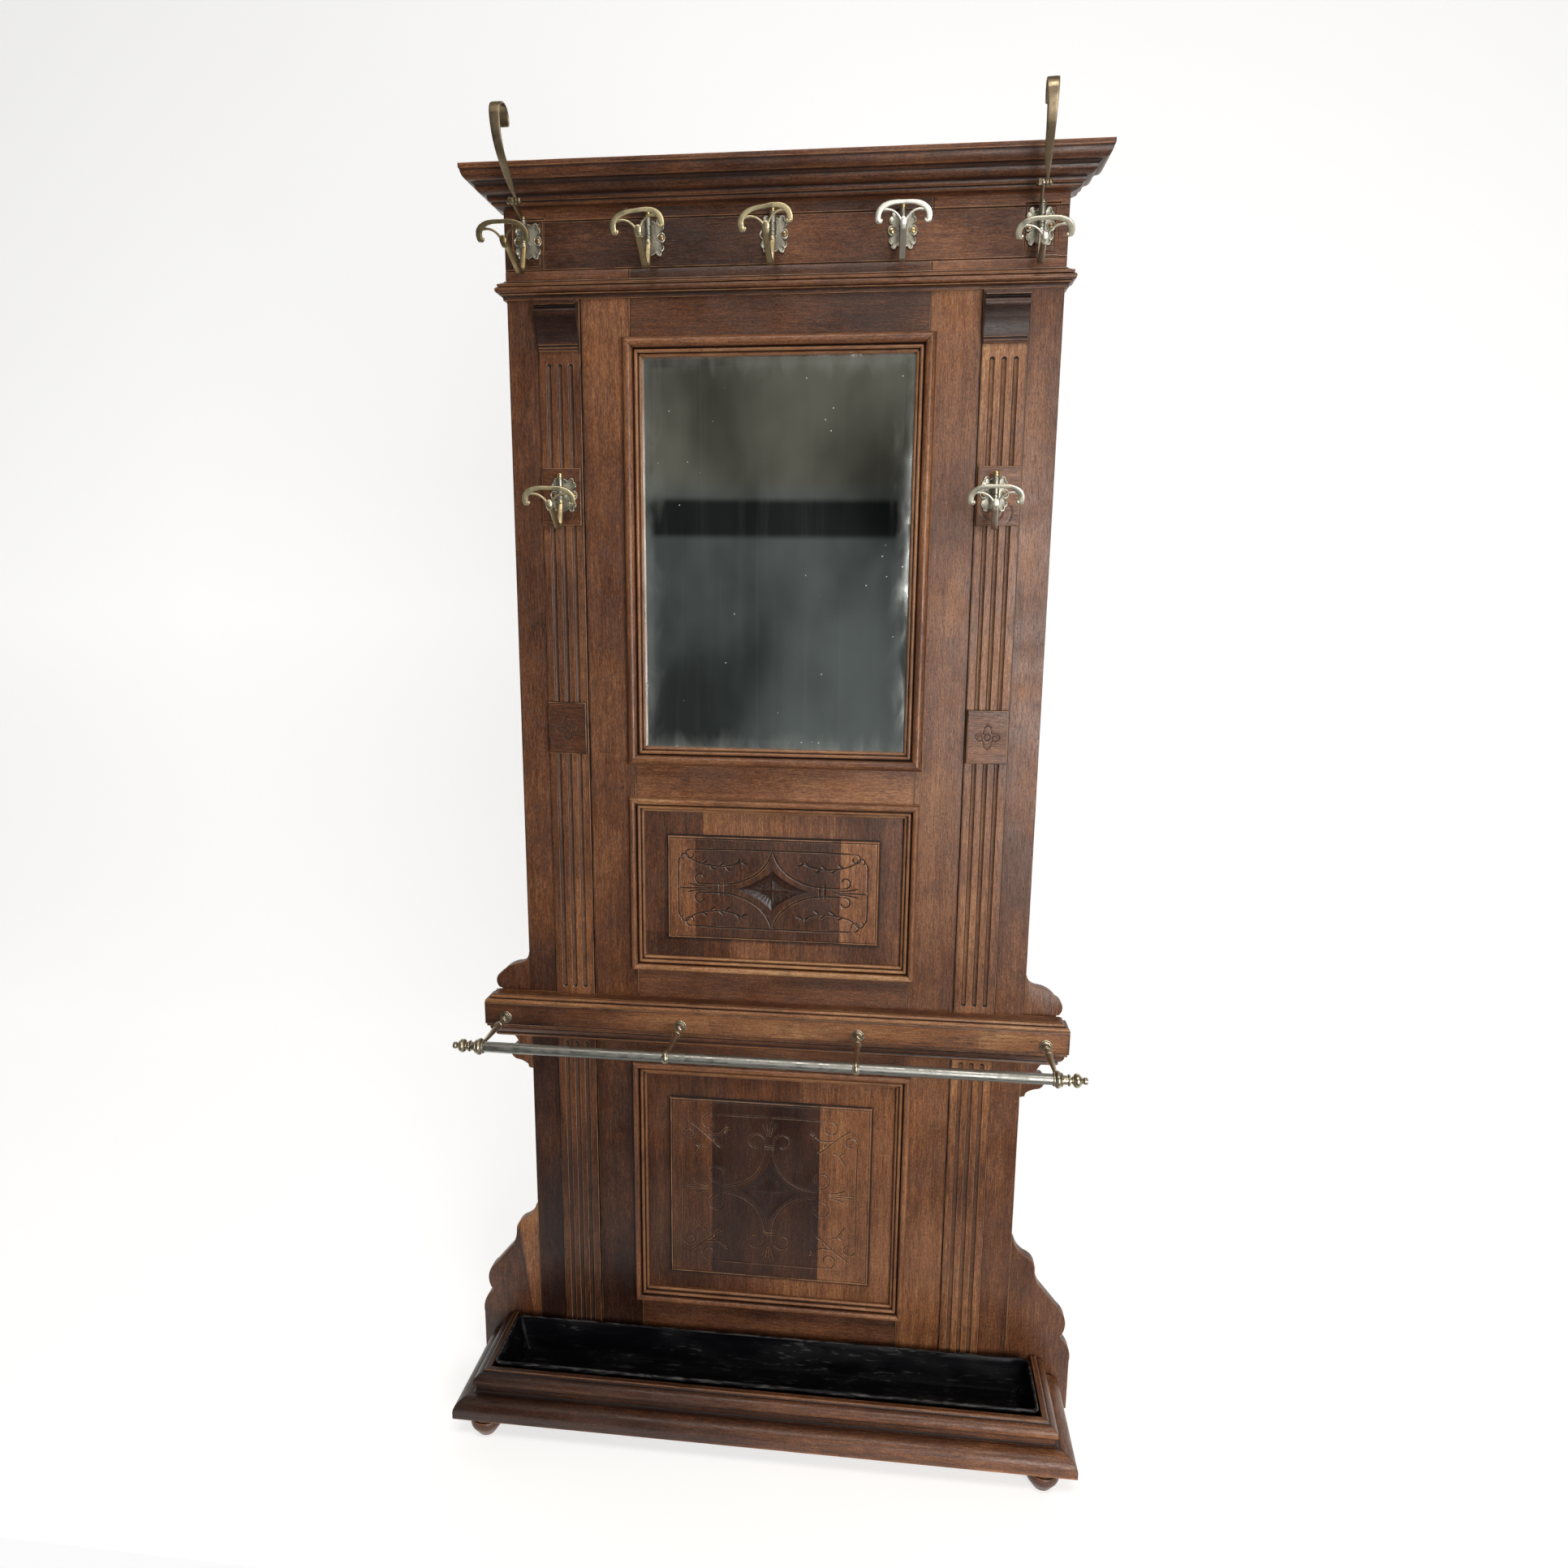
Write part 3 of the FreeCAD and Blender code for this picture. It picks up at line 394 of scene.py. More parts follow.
def swept(shells, line, wide, thick, across, power=2.4, segments=20, tone=0.5):
    """A bar along a line. wide and thick are half sizes, as functions of 0 to 1 along it;
    across is the direction of its width. Its ends are domed."""
    line = np.asarray(line, float)
    across = np.asarray(across, float)
    across = across / np.linalg.norm(across)
    tangent = np.gradient(line, axis=0)
    tangent /= np.linalg.norm(tangent, axis=1)[:, None]
    angle = np.linspace(0, 2 * math.pi, segments, endpoint=False)
    c, s = np.cos(angle), np.sin(angle)
    c = np.sign(c) * np.abs(c) ** (2 / power)
    s = np.sign(s) * np.abs(s) ** (2 / power)
    rows = []
    count = len(line)

    def ring(i, grow, push):
        t = i / (count - 1)
        up = np.cross(tangent[i], across)
        up /= np.linalg.norm(up)
        side = np.cross(up, tangent[i])
        half = thick(t)
        centre = line[i] + tangent[i] * push * half
        return centre + np.outer(c, side) * wide(t) * grow + np.outer(s, up) * half * grow

    domes = [0.15, 0.5, 0.8]
    for share in domes:
        rows.append(ring(0, share, -math.sqrt(1 - share * share)))
    rows += [ring(i, 1.0, 0.0) for i in range(count)]
    for share in reversed(domes):
        rows.append(ring(count - 1, share, math.sqrt(1 - share * share)))
    shells.add(np.concatenate(rows), capped_faces(len(rows), segments), "x", tone)


def steady(value):
    return lambda t: value


def along(values):
    """A size that goes through the values evenly from 0 to 1."""
    marks = np.linspace(0, 1, len(values))
    return lambda t: float(np.interp(t, marks, values))


# ---- Materials -----------------------------------------------------------------------
class Nodes:
    """The node tree of a material or of the world, built from short calls."""

    def __init__(self, owner):
        owner.use_nodes = True
        self.owner = owner
        self.tree = owner.node_tree

    def put(self, node, key, value):
        socket = node.inputs[key]
        if isinstance(value, bpy.types.NodeSocket):
            self.tree.links.new(value, socket)
        else:
            socket.default_value = value

    def add(self, kind, inputs=(), out=0, **settings):
        node = self.tree.nodes.new("ShaderNode" + kind)
        for key, value in settings.items():
            setattr(node, key, value)
        for key, value in dict(inputs).items():
            self.put(node, key, value)
        return node.outputs[out]

    def attribute(self, name, out="Fac"):
        return self.add("Attribute", out=out, attribute_name=name)

    def math(self, operation, a, b=0.0, clamp=False):
        return self.add("Math", {0: a, 1: b}, operation=operation, use_clamp=clamp)

    def plus(self, a, b, clamp=False):
        return self.math("ADD", a, b, clamp)

    def minus(self, a, b):
        return self.math("SUBTRACT", a, b)

    def times(self, a, b):
        return self.math("MULTIPLY", a, b)

    def range(self, value, a, b, c=0.0, d=1.0):
        inputs = {"Value": value, "From Min": a, "From Max": b, "To Min": c, "To Max": d}
        return self.add("MapRange", inputs, interpolation_type="SMOOTHSTEP")

    def mix(self, share, a, b, blend="MIX"):
        node = self.tree.nodes.new("ShaderNodeMix")
        node.data_type = "RGBA"
        node.blend_type = blend
        for key, value in ((0, share), (6, a), (7, b)):
            self.put(node, key, value)
        return node.outputs[2]

    def noise(self, vector, scale, detail=3.0, distortion=0.0):
        inputs = {"Vector": vector, "Scale": scale, "Detail": detail, "Distortion": distortion}
        return self.add("TexNoise", inputs)

    def stretched(self, vector, x, y, z):
        return self.add("VectorMath", {0: vector, 1: (x, y, z)}, operation="MULTIPLY")

    def ramp(self, value, stops):
        node = self.tree.nodes.new("ShaderNodeValToRGB")
        self.put(node, "Fac", value)
        while len(node.color_ramp.elements) < len(stops):
            node.color_ramp.elements.new(0.5)
        for element, (place, colour) in zip(node.color_ramp.elements, stops):
            element.position = place
            element.color = (*colour, 1.0)
        return node.outputs[0]

    def bump(self, height, distance, strength=1.0):
        inputs = {"Height": height, "Distance": distance, "Strength": strength}
        return self.add("Bump", inputs)

    def specks(self, vector, scale, rarity, radius):
        """1 inside small dots in the few cells that pass rarity, and 0 elsewhere."""
        cells = self.tree.nodes.new("ShaderNodeTexVoronoi")
        self.put(cells, "Vector", vector)
        self.put(cells, "Scale", scale)
        chosen = self.add("SeparateColor", {0: cells.outputs["Color"]})
        return self.times(self.math("GREATER_THAN", chosen, rarity),
                          self.math("LESS_THAN", cells.outputs["Distance"], radius))

    def finish(self, **sockets):
        """Sets the shader's sockets, named with _ for a space, and gives the material."""
        for key, value in sockets.items():
            self.put(self.tree.nodes["Principled BSDF"], key.replace("_", " "), value)
        return self.owner


def new_material(name):
    return Nodes(bpy.data.materials.new(name))


def walnut():
    """Old stained walnut. The grain attribute gives the direction of its figure, tone its
    stain from dark to pale, and edge the rubbed arrises and the dirty corners."""
    n = new_material("walnut")
    grain = n.attribute("grain", "Vector")
    tone = n.attribute("tone")
    edge = n.attribute("edge")
    figure = n.noise(n.stretched(grain, 1.8, 16, 16), 1.0, 4.0, 0.7)
    streaks = n.noise(n.stretched(grain, 7, 150, 150), 1.0, 4.0, 0.3)
    fibres = n.noise(n.stretched(grain, 42, 460, 460), 1.0, 3.0)
    grit = n.noise(n.stretched(grain, 210, 520, 520), 1.0, 3.0)
    pores = n.noise(n.stretched(grain, 60, 900, 900), 1.0, 2.0)
    cloud = n.noise(grain, 5.0, 3.0)
    stain = n.noise(grain, 26.0, 4.0)
    lifted = tone
    for pattern, amount in ((figure, 0.55), (streaks, 0.3), (fibres, 0.5), (grit, 0.62),
                            (cloud, 0.6)):
        lifted = n.plus(lifted, n.times(n.minus(pattern, 0.5), amount))
    colour = n.ramp(lifted, [(0.0, (0.016, 0.006, 0.004)), (0.25, (0.047, 0.017, 0.008)),
                             (0.5, (0.122, 0.045, 0.019)), (0.75, (0.26, 0.11, 0.045)),
                             (1.0, (0.43, 0.25, 0.115))])
    colour = n.mix(n.range(pores, 0.56, 0.70, 0.0, 0.6), colour, (0.014, 0.006, 0.004, 1))
    colour = n.mix(n.range(stain, 0.52, 0.75, 0.0, 0.35), colour, (0.030, 0.014, 0.010, 1))
    worn = n.times(n.range(edge, 0.07, 0.32), n.range(stain, 0.33, 0.58, 0.15, 0.8))
    colour = n.mix(worn, colour, (0.34, 0.17, 0.075, 1))
    grime_and_painted_shading = n.range(edge, -0.02, -0.16, 0.0, 0.95)
    colour = n.mix(grime_and_painted_shading, colour, (0.006, 0.003, 0.002, 1))
    patch = n.range(n.noise(grain, 7.0, 2.0), 0.54, 0.62)
    hole = n.times(n.specks(grain, 95.0, 0.86, 0.115), patch)
    colour = n.mix(hole, colour, (0.004, 0.002, 0.002, 1))
    rough = n.range(n.noise(grain, 14.0, 4.0), 0.3, 0.75, 0.30, 0.52)
    rough = n.plus(rough, n.times(grime_and_painted_shading, 0.35))
    height = n.minus(n.times(grit, 0.5), n.range(pores, 0.55, 0.7, 0.0, 0.5))
    height = n.minus(height, n.times(hole, 4.0))
    return n.finish(Base_Color=colour, Roughness=rough, Coat_Weight=0.12, Coat_Roughness=0.28,
                    Specular_IOR_Level=0.34, Normal=n.bump(height, 0.00028))


def pine():
    n = new_material("pine_board")
    grain = n.attribute("grain", "Vector")
    bands = n.noise(n.stretched(grain, 1.5, 60, 60), 1.0, 4.0, 0.8)
    saw = n.add("TexWave", {"Vector": grain, "Scale": 90.0, "Distortion": 3.0, "Detail": 2.0})
    colour = n.ramp(bands, [(0.3, (0.23, 0.135, 0.07)), (0.55, (0.36, 0.235, 0.13)),
                            (0.75, (0.46, 0.33, 0.2))])
    blotch = n.range(n.noise(grain, 12.0), 0.5, 0.8, 0.0, 0.6)
    colour = n.mix(blotch, colour, (0.10, 0.07, 0.05, 1))
    return n.finish(Base_Color=colour, Roughness=0.82, Normal=n.bump(saw, 0.0003))


def metal(name, bright, dull, deep, rough, scratch=0.5):
    """Old plated or bare metal: bright where rubbed, dull in between, dark in corners."""
    n = new_material(name)
    grain = n.attribute("grain", "Vector")
    edge = n.attribute("edge")
    tone = n.attribute("tone")
    cloud = n.noise(grain, 55.0, 5.0, 0.5)
    fine = n.noise(grain, 420.0, 3.0)
    hair = n.noise(n.stretched(grain, 90, 1600, 700), 1.0, 2.0, 0.4)
    colour = n.mix(n.range(cloud, 0.32, 0.68, 0.0, 0.5), (*bright, 1), (*dull, 1))
    colour = n.mix(n.range(fine, 0.55, 0.78, 0.0, 0.55), colour, (*deep, 1))
    colour = n.mix(n.range(edge, 0.05, 0.45, 0.0, 0.55), colour, (*bright, 1))
    colour = n.mix(n.range(edge, -0.02, -0.35, 0.0, 0.9), colour, (*deep, 1))
    stain = n.ramp(tone, [(0.2, (0.42, 0.34, 0.26)), (0.5, (0.92, 0.92, 0.92)),
                          (0.8, (1.0, 0.92, 0.74))])
    colour = n.mix(1.0, colour, stain, "MULTIPLY")
    spread = n.range(cloud, 0.3, 0.7, rough - 0.09, rough + 0.14)
    spread = n.plus(spread, n.range(hair, 0.5, 0.75, 0.0, 0.12 * scratch))
    height = n.plus(n.times(fine, 0.6), n.times(hair, scratch))
    return n.finish(Base_Color=colour, Metallic=1.0, Roughness=spread,
                    Normal=n.bump(height, 0.00006))


def black_paint():
    n = new_material("tray_black")
    grain = n.attribute("grain", "Vector")
    edge = n.attribute("edge")
    dust = n.noise(n.stretched(grain, 9, 26, 26), 1.0, 5.0, 0.4)
    scuff = n.noise(n.stretched(grain, 30, 170, 170), 1.0, 4.0, 1.2)
    colour = n.mix(n.range(dust, 0.45, 0.8, 0.0, 0.5), (0.0015, 0.0015, 0.0025, 1),
                   (0.012, 0.012, 0.014, 1))
    marks = n.times(n.range(scuff, 0.56, 0.72), n.range(dust, 0.42, 0.6, 0.0, 0.7))
    colour = n.mix(marks, colour, (0.09, 0.088, 0.085, 1))
    bare = n.times(n.range(edge, 0.08, 0.4), n.range(scuff, 0.42, 0.62, 0.0, 0.85))
    colour = n.mix(bare, colour, (0.22, 0.215, 0.21, 1))
    rough = n.range(dust, 0.3, 0.7, 0.30, 0.55)
    return n.finish(Base_Color=colour, Roughness=rough, Specular_IOR_Level=0.16,
                    Normal=n.bump(scuff, 0.00025))


def old_mirror():
    """Silvered glass whose backing has gone milky and flaky near the frame."""
    n = new_material("old_mirror")
    grain = n.attribute("grain", "Vector")
    rim = n.attribute("rim")
    wisps = n.noise(n.stretched(grain, 10, 26, 26), 1.0, 6.0, 1.0)
    flakes = n.noise(grain, 150.0, 6.0, 0.6)
    rubbed_and_shaded = n.noise(n.stretched(grain, 2.2, 60, 60), 1.0, 4.0, 0.5)
    near = n.plus(rim, n.times(n.minus(wisps, 0.5), 0.75))
    lost = n.times(n.range(near, 0.84, 1.04), n.range(flakes, 0.40, 0.60))
    haze = n.range(near, 0.45, 1.05, 0.0, 0.30)
    haze = n.plus(haze, n.range(rubbed_and_shaded, 0.5, 0.85, 0.0, 0.035))
    lost = n.math("MAXIMUM", lost, n.times(n.specks(grain, 60.0, 0.80, 0.075), 0.8))
    colour = n.mix(lost, (0.80, 0.83, 0.80, 1), (0.30, 0.33, 0.31, 1))
    spoilt = n.math("MAXIMUM", n.times(lost, 0.92), n.times(haze, 0.35))
    metallic = n.minus(1.0, spoilt)
    rough = n.plus(n.times(haze, 0.55), n.times(lost, 0.35), clamp=True)
    return n.finish(Base_Color=colour, Metallic=metallic, Roughness=n.plus(rough, 0.015),
                    Coat_Weight=0.6, Coat_Roughness=0.02)


# slot: material, in the order in which they are made
MATERIALS = {"walnut": walnut(), "pine_board": pine(), "mirror": old_mirror(),
             "tray_black": black_paint()}
# name: colour where rubbed, where dull and in the corners, then roughness
METALS = {
    "old_brass": ((0.64, 0.56, 0.36), (0.44, 0.37, 0.22), (0.05, 0.038, 0.022), 0.42),
    "nickel": ((0.78, 0.78, 0.73), (0.56, 0.54, 0.46), (0.09, 0.08, 0.06), 0.38),
    "bronze_strap": ((0.32, 0.25, 0.16), (0.20, 0.145, 0.085), (0.03, 0.02, 0.014), 0.40),
    "brass_cap": ((0.86, 0.66, 0.33), (0.62, 0.44, 0.2), (0.10, 0.06, 0.03), 0.22),
    "screw_brass": ((0.66, 0.52, 0.33), (0.40, 0.29, 0.17), (0.04, 0.025, 0.015), 0.36),
    "plate_metal": ((0.42, 0.40, 0.33), (0.27, 0.25, 0.19), (0.04, 0.032, 0.022), 0.42),
    "rail_steel": ((0.37, 0.365, 0.335), (0.25, 0.245, 0.215), (0.10, 0.085, 0.07), 0.40, 0.6),
    "rail_brass": ((0.52, 0.46, 0.34), (0.28, 0.23, 0.15), (0.035, 0.025, 0.018), 0.34),
}
for metal_name, looks in METALS.items():
    MATERIALS[metal_name] = metal(metal_name, *looks)


# ---- Boards of the framed back -------------------------------------------------------
def plain_board(name, axis, tone, arris=1.1, carve=None, **more):
    """A walnut board that fills the box of its CAD node."""
    x0, x1, y0, y1, z0, z1 = cad(name)
    shells = Shells()
    slab(shells, (x0, x1), (z0, z1), (y0, y1), axis, tone, arris, carve, **more)
    shells.wood(name)


def stained_and_shaded(base, low=0.0):
    """Tone of a board that is darker by low at the floor: painted shade."""
    return lambda X, Z: base - low * np.clip(1 - Z / 900, 0, 1) ** 0.6


def framework():
    # The left stiles are darker than the right ones: painted shade, as the light falls from the
    # right.
    plain_board("outer_stile_left", "z", stained_and_shaded(0.41, 0.42))
    plain_board("outer_stile_right", "z", stained_and_shaded(0.52, 0.12))
    plain_board("inner_stile_left", "z", stained_and_shaded(0.53, 0.52))
    plain_board("inner_stile_right", "z", 0.57)
    plain_board("bottom_rail", "x", 0.32, 0.5)
    plain_board("beam_rail", "x", 0.42, 0.5)
    plain_board("mirror_rail", "x", 0.54, 0.5)
    plain_board("top_rail", "x", 0.29, 0.5)


FLUTE_HALF = 4.4                    # half width of a flute
FLUTE_DEEP = 2.2
FLUTE_PITCH = 18.6
FLUTE_ENDS = {"upper_pilaster": (797.0, 1886.0), "lower_pilaster": (106.0, 692.0)}
SHAFT_TOP = {"upper_pilaster": 1986.0, "lower_pilaster": 703.0}
SHAFT_FOOT = {"upper_pilaster": cad("upper_pilaster_left")[4], "lower_pilaster": 58.0}


def pilaster(name, side):
    """Three round-ended flutes in a shaft that stands proud of the stiles. Above and below
    the shaft its board is level with them."""
    node = name + "_" + side
    x0, x1, y0 = cad(node)[:3]
    # The left shafts are darker than the right ones, and both darker towards the floor: painted
    # shade.
    stain = {"left": (0.50, 0.22), "right": (0.66, 0.12)}[side]
    middle = (x0 + x1) / 2
    low, high = FLUTE_ENDS[name]
    centres = [middle + k * FLUTE_PITCH for k in (-1, 0, 1)]
    foot, top = SHAFT_FOOT[name], SHAFT_TOP[name]
    radius = (FLUTE_HALF ** 2 + FLUTE_DEEP ** 2) / (2 * FLUTE_DEEP)

    def hollow(X, Z):
        end = np.maximum(np.maximum(low + FLUTE_HALF - Z, Z - high + FLUTE_HALF), 0)
        away = np.min([np.hypot(X - centre, end) for centre in centres], axis=0)
        return np.maximum(np.sqrt(np.maximum(radius ** 2 - away ** 2, 0)) - radius + FLUTE_DEEP, 0)

    def carve(X, Z):
        step_back = (Z < foot - 0.01) | (Z > top + 0.01)
        return np.where(step_back, FACE_Y - y0, hollow(X, Z))

    def tone(X, Z):
        """Painted shade lines both edges of a flute, and its bottom is a little dusty."""
        deep = hollow(X, Z) / FLUTE_DEEP
        painted_flute_shade = 0.34 * np.exp(-((deep - 0.3) / 0.28) ** 2) * (deep > 0.02)
        return stained_and_shaded(*stain)(X, Z) - painted_flute_shade + 0.02 * deep

    fine_x = np.concatenate([c + np.arange(-5.0, 5.1, 0.5) for c in centres])
    ends = [np.arange(-1, 6, 0.7) + low, high - np.arange(-1, 6, 0.7)]
    fine_z = np.concatenate(ends + [[foot, foot - 0.05, top, top + 0.05]])
    plain_board(node, "z", tone, 0.9, carve, step=18.0, warp=0.1, extra_x=fine_x, extra_z=fine_z)


def block_ornament(kind, x, z):
    """Shallow worn carving: a flower of petals, or a scroll of leaves, about (x, z)."""

    def carve(X, Z):
        dx, dz = X - x, Z - z
        away = np.hypot(dx, dz)
        angle = np.arctan2(dz, dx)
        if kind == "rosette":
            petals = 15 + 5 * np.cos(4 * angle)
            line = np.exp(-((away - petals) / 1.1) ** 2)
            eyes = np.exp(-((np.hypot(np.abs(dx) - 12.5, dz + 2) - 4.5) / 1.0) ** 2)
            centre = np.exp(-((away - 5.0) / 1.0) ** 2)
            return 0.5 * np.maximum(np.maximum(line, centre), eyes)
        vine = np.sin(away / 2.6 + 3 * angle)
        return 0.4 * np.clip(vine - 0.55, 0, 1) / 0.45 * np.clip((30 - away) / 6, 0, 1)

    return carve


def pilaster_blocks():
    for node, kind in (("hook_blocks", "scroll"), ("rosette_blocks", "rosette")):
        shells = Shells()
        lowered = 20 if kind == "scroll" else 0
        # The right blocks are paler than the left ones: a painted sheen, from the light on the
        # right.
        for half, tone in zip(HALVES, (0.38, 0.50)):
            x0, x1, y0, y1, z0, z1 = cad(node, *half)
            carve = block_ornament(kind, (x0 + x1) / 2, (z0 + z1) / 2 - lowered)
            slab(shells, (x0, x1), (z0, z1), (y0, y1), "x", tone, 1.3, carve, 1.1, 0.15)
        shells.wood(node)


def corbels():
    shells = Shells()
    for half, tone in zip(HALVES, (0.02, 0.06)):
        x0, x1, _, y1, z0, z1 = cad("corbels", *half)
        steps = moved([(2, 0, 4, 2), (5.5, 5), (5, 9), (7, 9.5), (8.6, 24, 13.6, 38),
                       (17.2, 46, 21, 52), (23.4, 58, 20.6, 64), (18, 65.6), (18, 67.6), (25, 68)],
                      0, z0)
        profile = soften(outline((0, z0 + 2), steps + [(25, z1), (0, z1)]), 0.6)
        moulded(shells, profile, lambda a, r, h: (a, y1 - r, h), cut_at(x0), cut_at(x1), "x", tone,
                6.0, 0.1)
    shells.wood("corbels")


# ---- Mouldings -----------------------------------------------------------------------
def cut_at(value):
    """A square end for a moulding, as a function of its reach."""
    return lambda reach: np.full_like(reach, value)


def opening_moulding(node, w, tones):
    """Four mitred lengths: outer fillet, large torus, quirk, bead and inner fillet. w is
    its width and tones are of the bottom, top, left and right lengths."""
    x0, x1, _, _, z0, z1 = cad(node)
    lap = x1 - cad("inner_stile_right")[0]
    h = 14.0
    sunk = 6.0
    bead = w - 10.5
    steps = [(0, h * 0.4), (1.6, h * 0.5), (4.5, h * 1.08, bead - 2.6, h * 0.72),
             (bead - 1.4, h * 0.36), (bead, h * 0.36),
             (bead + 2.4, h * 0.68, bead + 4.8, h * 0.36), (bead + 5.6, h * 0.12),
             (w - 2.6, h * 0.2, w, -h * 0.12), (w, -sunk), (lap, -sunk), (lap, 0)]
    profile = soften(outline((0, 0), steps, 0.9), 0.45)
    across = lambda d: x0 + d, lambda d: x1 - d, "x"
    upright = lambda d: z0 + d, lambda d: z1 - d, "z"
    sides = [(lambda a, d, r: (a, FACE_Y - r, z0 + d), *across),
             (lambda a, d, r: (a, FACE_Y - r, z1 - d), *across),
             (lambda a, d, r: (x0 + d, FACE_Y - r, a), *upright),
             (lambda a, d, r: (x1 - d, FACE_Y - r, a), *upright)]
    shells = Shells()
    for side, tone in zip(sides, tones):
        moulded(shells, profile, *side, tone)
    shells.wood(node)


def wrapped_moulding(pieces, start, steps, half, y_back, tone, soft=0.7):
    """A moulding round the front and both ends of a board. The profile is (projection,
    height). pieces are the names of one node, or of the front, left and right nodes, and
    tone may be one for each of these three."""
    tones = tone if isinstance(tone, tuple) else (tone,) * 3
    profile = soften(outline(start, steps), soft)
    out = [
        (lambda a, p, z: (a, FACE_Y - p, z), lambda p: -half - p, lambda p: half + p, "x"),
        (lambda a, p, z: (-half - p, a, z), lambda p: FACE_Y - p, cut_at(y_back), "y"),
        (lambda a, p, z: (half + p, a, z), lambda p: FACE_Y - p, cut_at(y_back), "y"),
    ]
    shells = Shells()
    for index, (place, first, last, axis) in enumerate(out):
        moulded(shells, profile, place, first, last, axis, tones[index], 26.0, 0.2)
        if len(pieces) > 1:
            shells.wood(pieces[index])
            shells = Shells()
    if len(pieces) == 1:
        shells.wood(pieces[0])


def cornice_and_astragal():
    z = cad("cornice")[4]
    steps = [(4.5, 1.5), (9.5, 3.5), (13.2, 5.5, 14.2, 9), (17.2, 10), (19.2, 13, 19.6, 16.4),
             (23.5, 17.6), (31, 21.5, 34.2, 28.6), (36, 30.4), (38.4, 32.6), (44, 33.4),
             (49.5, 39.5, 51.5, 46.5), (53.4, 49), (53.4, 56), (0, 56)]
    wrapped_moulding(["cornice"], (0, z), moved(steps, 0, z), CARCASS_HALF + 1, BACK_Y, 0.28)
    z = cad("astragal")[4]
    steps = [(4, 0), (5, 5, 9, 7.5), (9, 9), (7.2, 9.2), (7.2, 10.4), (14.8, 14.6, 7.4, 18.8),
             (6, 19), (6, 20.4), (11.6, 20.6), (11.6, 24), (9, 25), (2.2, 28.6), (2, 30), (0, 30)]
    wrapped_moulding(["astragal"], (0, z), moved(steps, 0, z), CARCASS_HALF + 1, BACK_Y, 0.24)


def beam():
    x1, y0, _, z0 = cad("beam")[1:5]

    def tone(X, Z):
        """Honey coloured, and darker towards its left end: painted shade."""
        return 0.40 + 0.32 * np.clip((X + 430) / 330, 0, 1)

    plain_board("beam", "x", tone, 2.6, step=12.0, warp=0.35, joint=0.6)
    p = FACE_Y - y0
    root = x1 - p
    z, top = cad("beam_cap")[4:6]
    steps = moved([(-1.5, 0), (-1.5, 1.6), (-2, 5.2, -6, 6.4), (-8.5, 6.6), (-9, 10.4, -13, 11.6)],
                  p, z) + [(p - 14, top), (0, top)]
    wrapped_moulding(["beam_cap"], (0, z), steps, root, FACE_Y, 0.50)
    z = cad("beam_lower_moulding")[4]
    steps = moved([(22, 0), (26, 4), (25, 8), (30, 12, 34, 20), (34, 23)], 0, z)
    steps += [(p - 3, z + 23.5), (p - 3, z0), (0, z0)]
    wrapped_moulding(["beam_lower_moulding"], (0, z), steps, root, FACE_Y, 0.30)


def plinth():
    x1, y0, y1, z, top = cad("plinth_front")[1:]
    p = FACE_Y - y0
    inner = FACE_Y - y1
    steps = moved([(0, 0), (0, 11), (-6, 27, -27, 33), (-33, 34), (-34, 47), (-29.5, 49.5),
                   (-29, 54), (-33, 62, -43, 66)], p, z) + [(p - 45.5, top), (inner, top)]

    # Darker towards the left, and its left end darker than its right end: painted shade, as the
    # light falls from the right.
    def darker_left(along):
        return 0.27 + 0.17 * np.clip(along / 400, -1, 1)

    wrapped_moulding(["plinth_front", "plinth_left", "plinth_right"], (inner, z), steps, x1 - p,
                     FACE_Y, (darker_left, 0.12, 0.42), 1.4)
    plain_board("plinth_bottom", "x", 0.35, 0.6)


# ---- Shaped side boards --------------------------------------------------------------
def side_boards():
    x = CARCASS_HALF
    y = cad("wing_right")[2:4]
    z = cad("plinth_front")[4]
    steps = [(118, 60), (115, 88, 101, 108), (100, 112), (107, 138, 91, 170), (72, 193, 56, 212),
             (48, 230, 46, 248), (39, 264, 26, 273), (12, 286, 5, 302), (0, 304)]
    wing = outline((x, 0), [(x + 118, 0)] + moved(steps, x, z), 3.0)
    z = cad("beam_cap")[5]
    tongue = cad("upper_brackets")[4]
    steps = [(56, 0), (60, 0), (66, 16, 54, 31), (38, 45, 21, 50), (11, 54, 3, 66), (0, 72)]
    upper = outline((x, tongue), [(x + 56, tongue)] + moved(steps, x, z), 2.0)
    z = cad("lower_brackets")[5]
    steps = [(62, 0), (44, -5, 29, -21), (28, -27, 36, -31), (43, -46, 27, -60), (19, -63, 11, -68),
             (9, -75), (0, -76)]
    lower = outline((x, z), moved(steps, x, z), 2.0)

    def patched(X, Z):
        """A pale let-in repair at the top of the left wing, with a slanting dark joint."""
        joint = Z - 292 - 0.30 * (X + x)
        pale = np.where(joint > 4, 0.74, 0.30)
        return np.where(np.abs(joint) < 4, 0.10, pale)

    for side, name, tone in ((-1, "wing_left", patched), (1, "wing_right", 0.46)):
        shells = Shells()
        points = [(side * px, pz) for px, pz in wing]
        shaped_board(shells, points, y, "z", tone, 2.0)
        shells.wood(name)
    for name, points in (("upper_brackets", upper), ("lower_brackets", lower)):
        shells = Shells()
        for side, tone in ((-1, 0.42), (1, 0.5)):
            shaped_board(shells, [(side * px, pz) for px, pz in points], y, "z", tone, 1.6)
        shells.wood(name)


# ---- Carving -------------------------------------------------------------------------
def curl(centre, radius, start, turns, shrink=0.4):
    """A scroll that winds inwards from the start angle, in degrees."""
    t = np.linspace(0, 1, 26)
    angle = np.radians(start + 360 * turns * t)
    r = radius * (1 - (1 - shrink) * t ** 1.3)
    return np.stack([centre[0] + r * np.cos(angle), centre[1] + r * np.sin(angle)], 1)


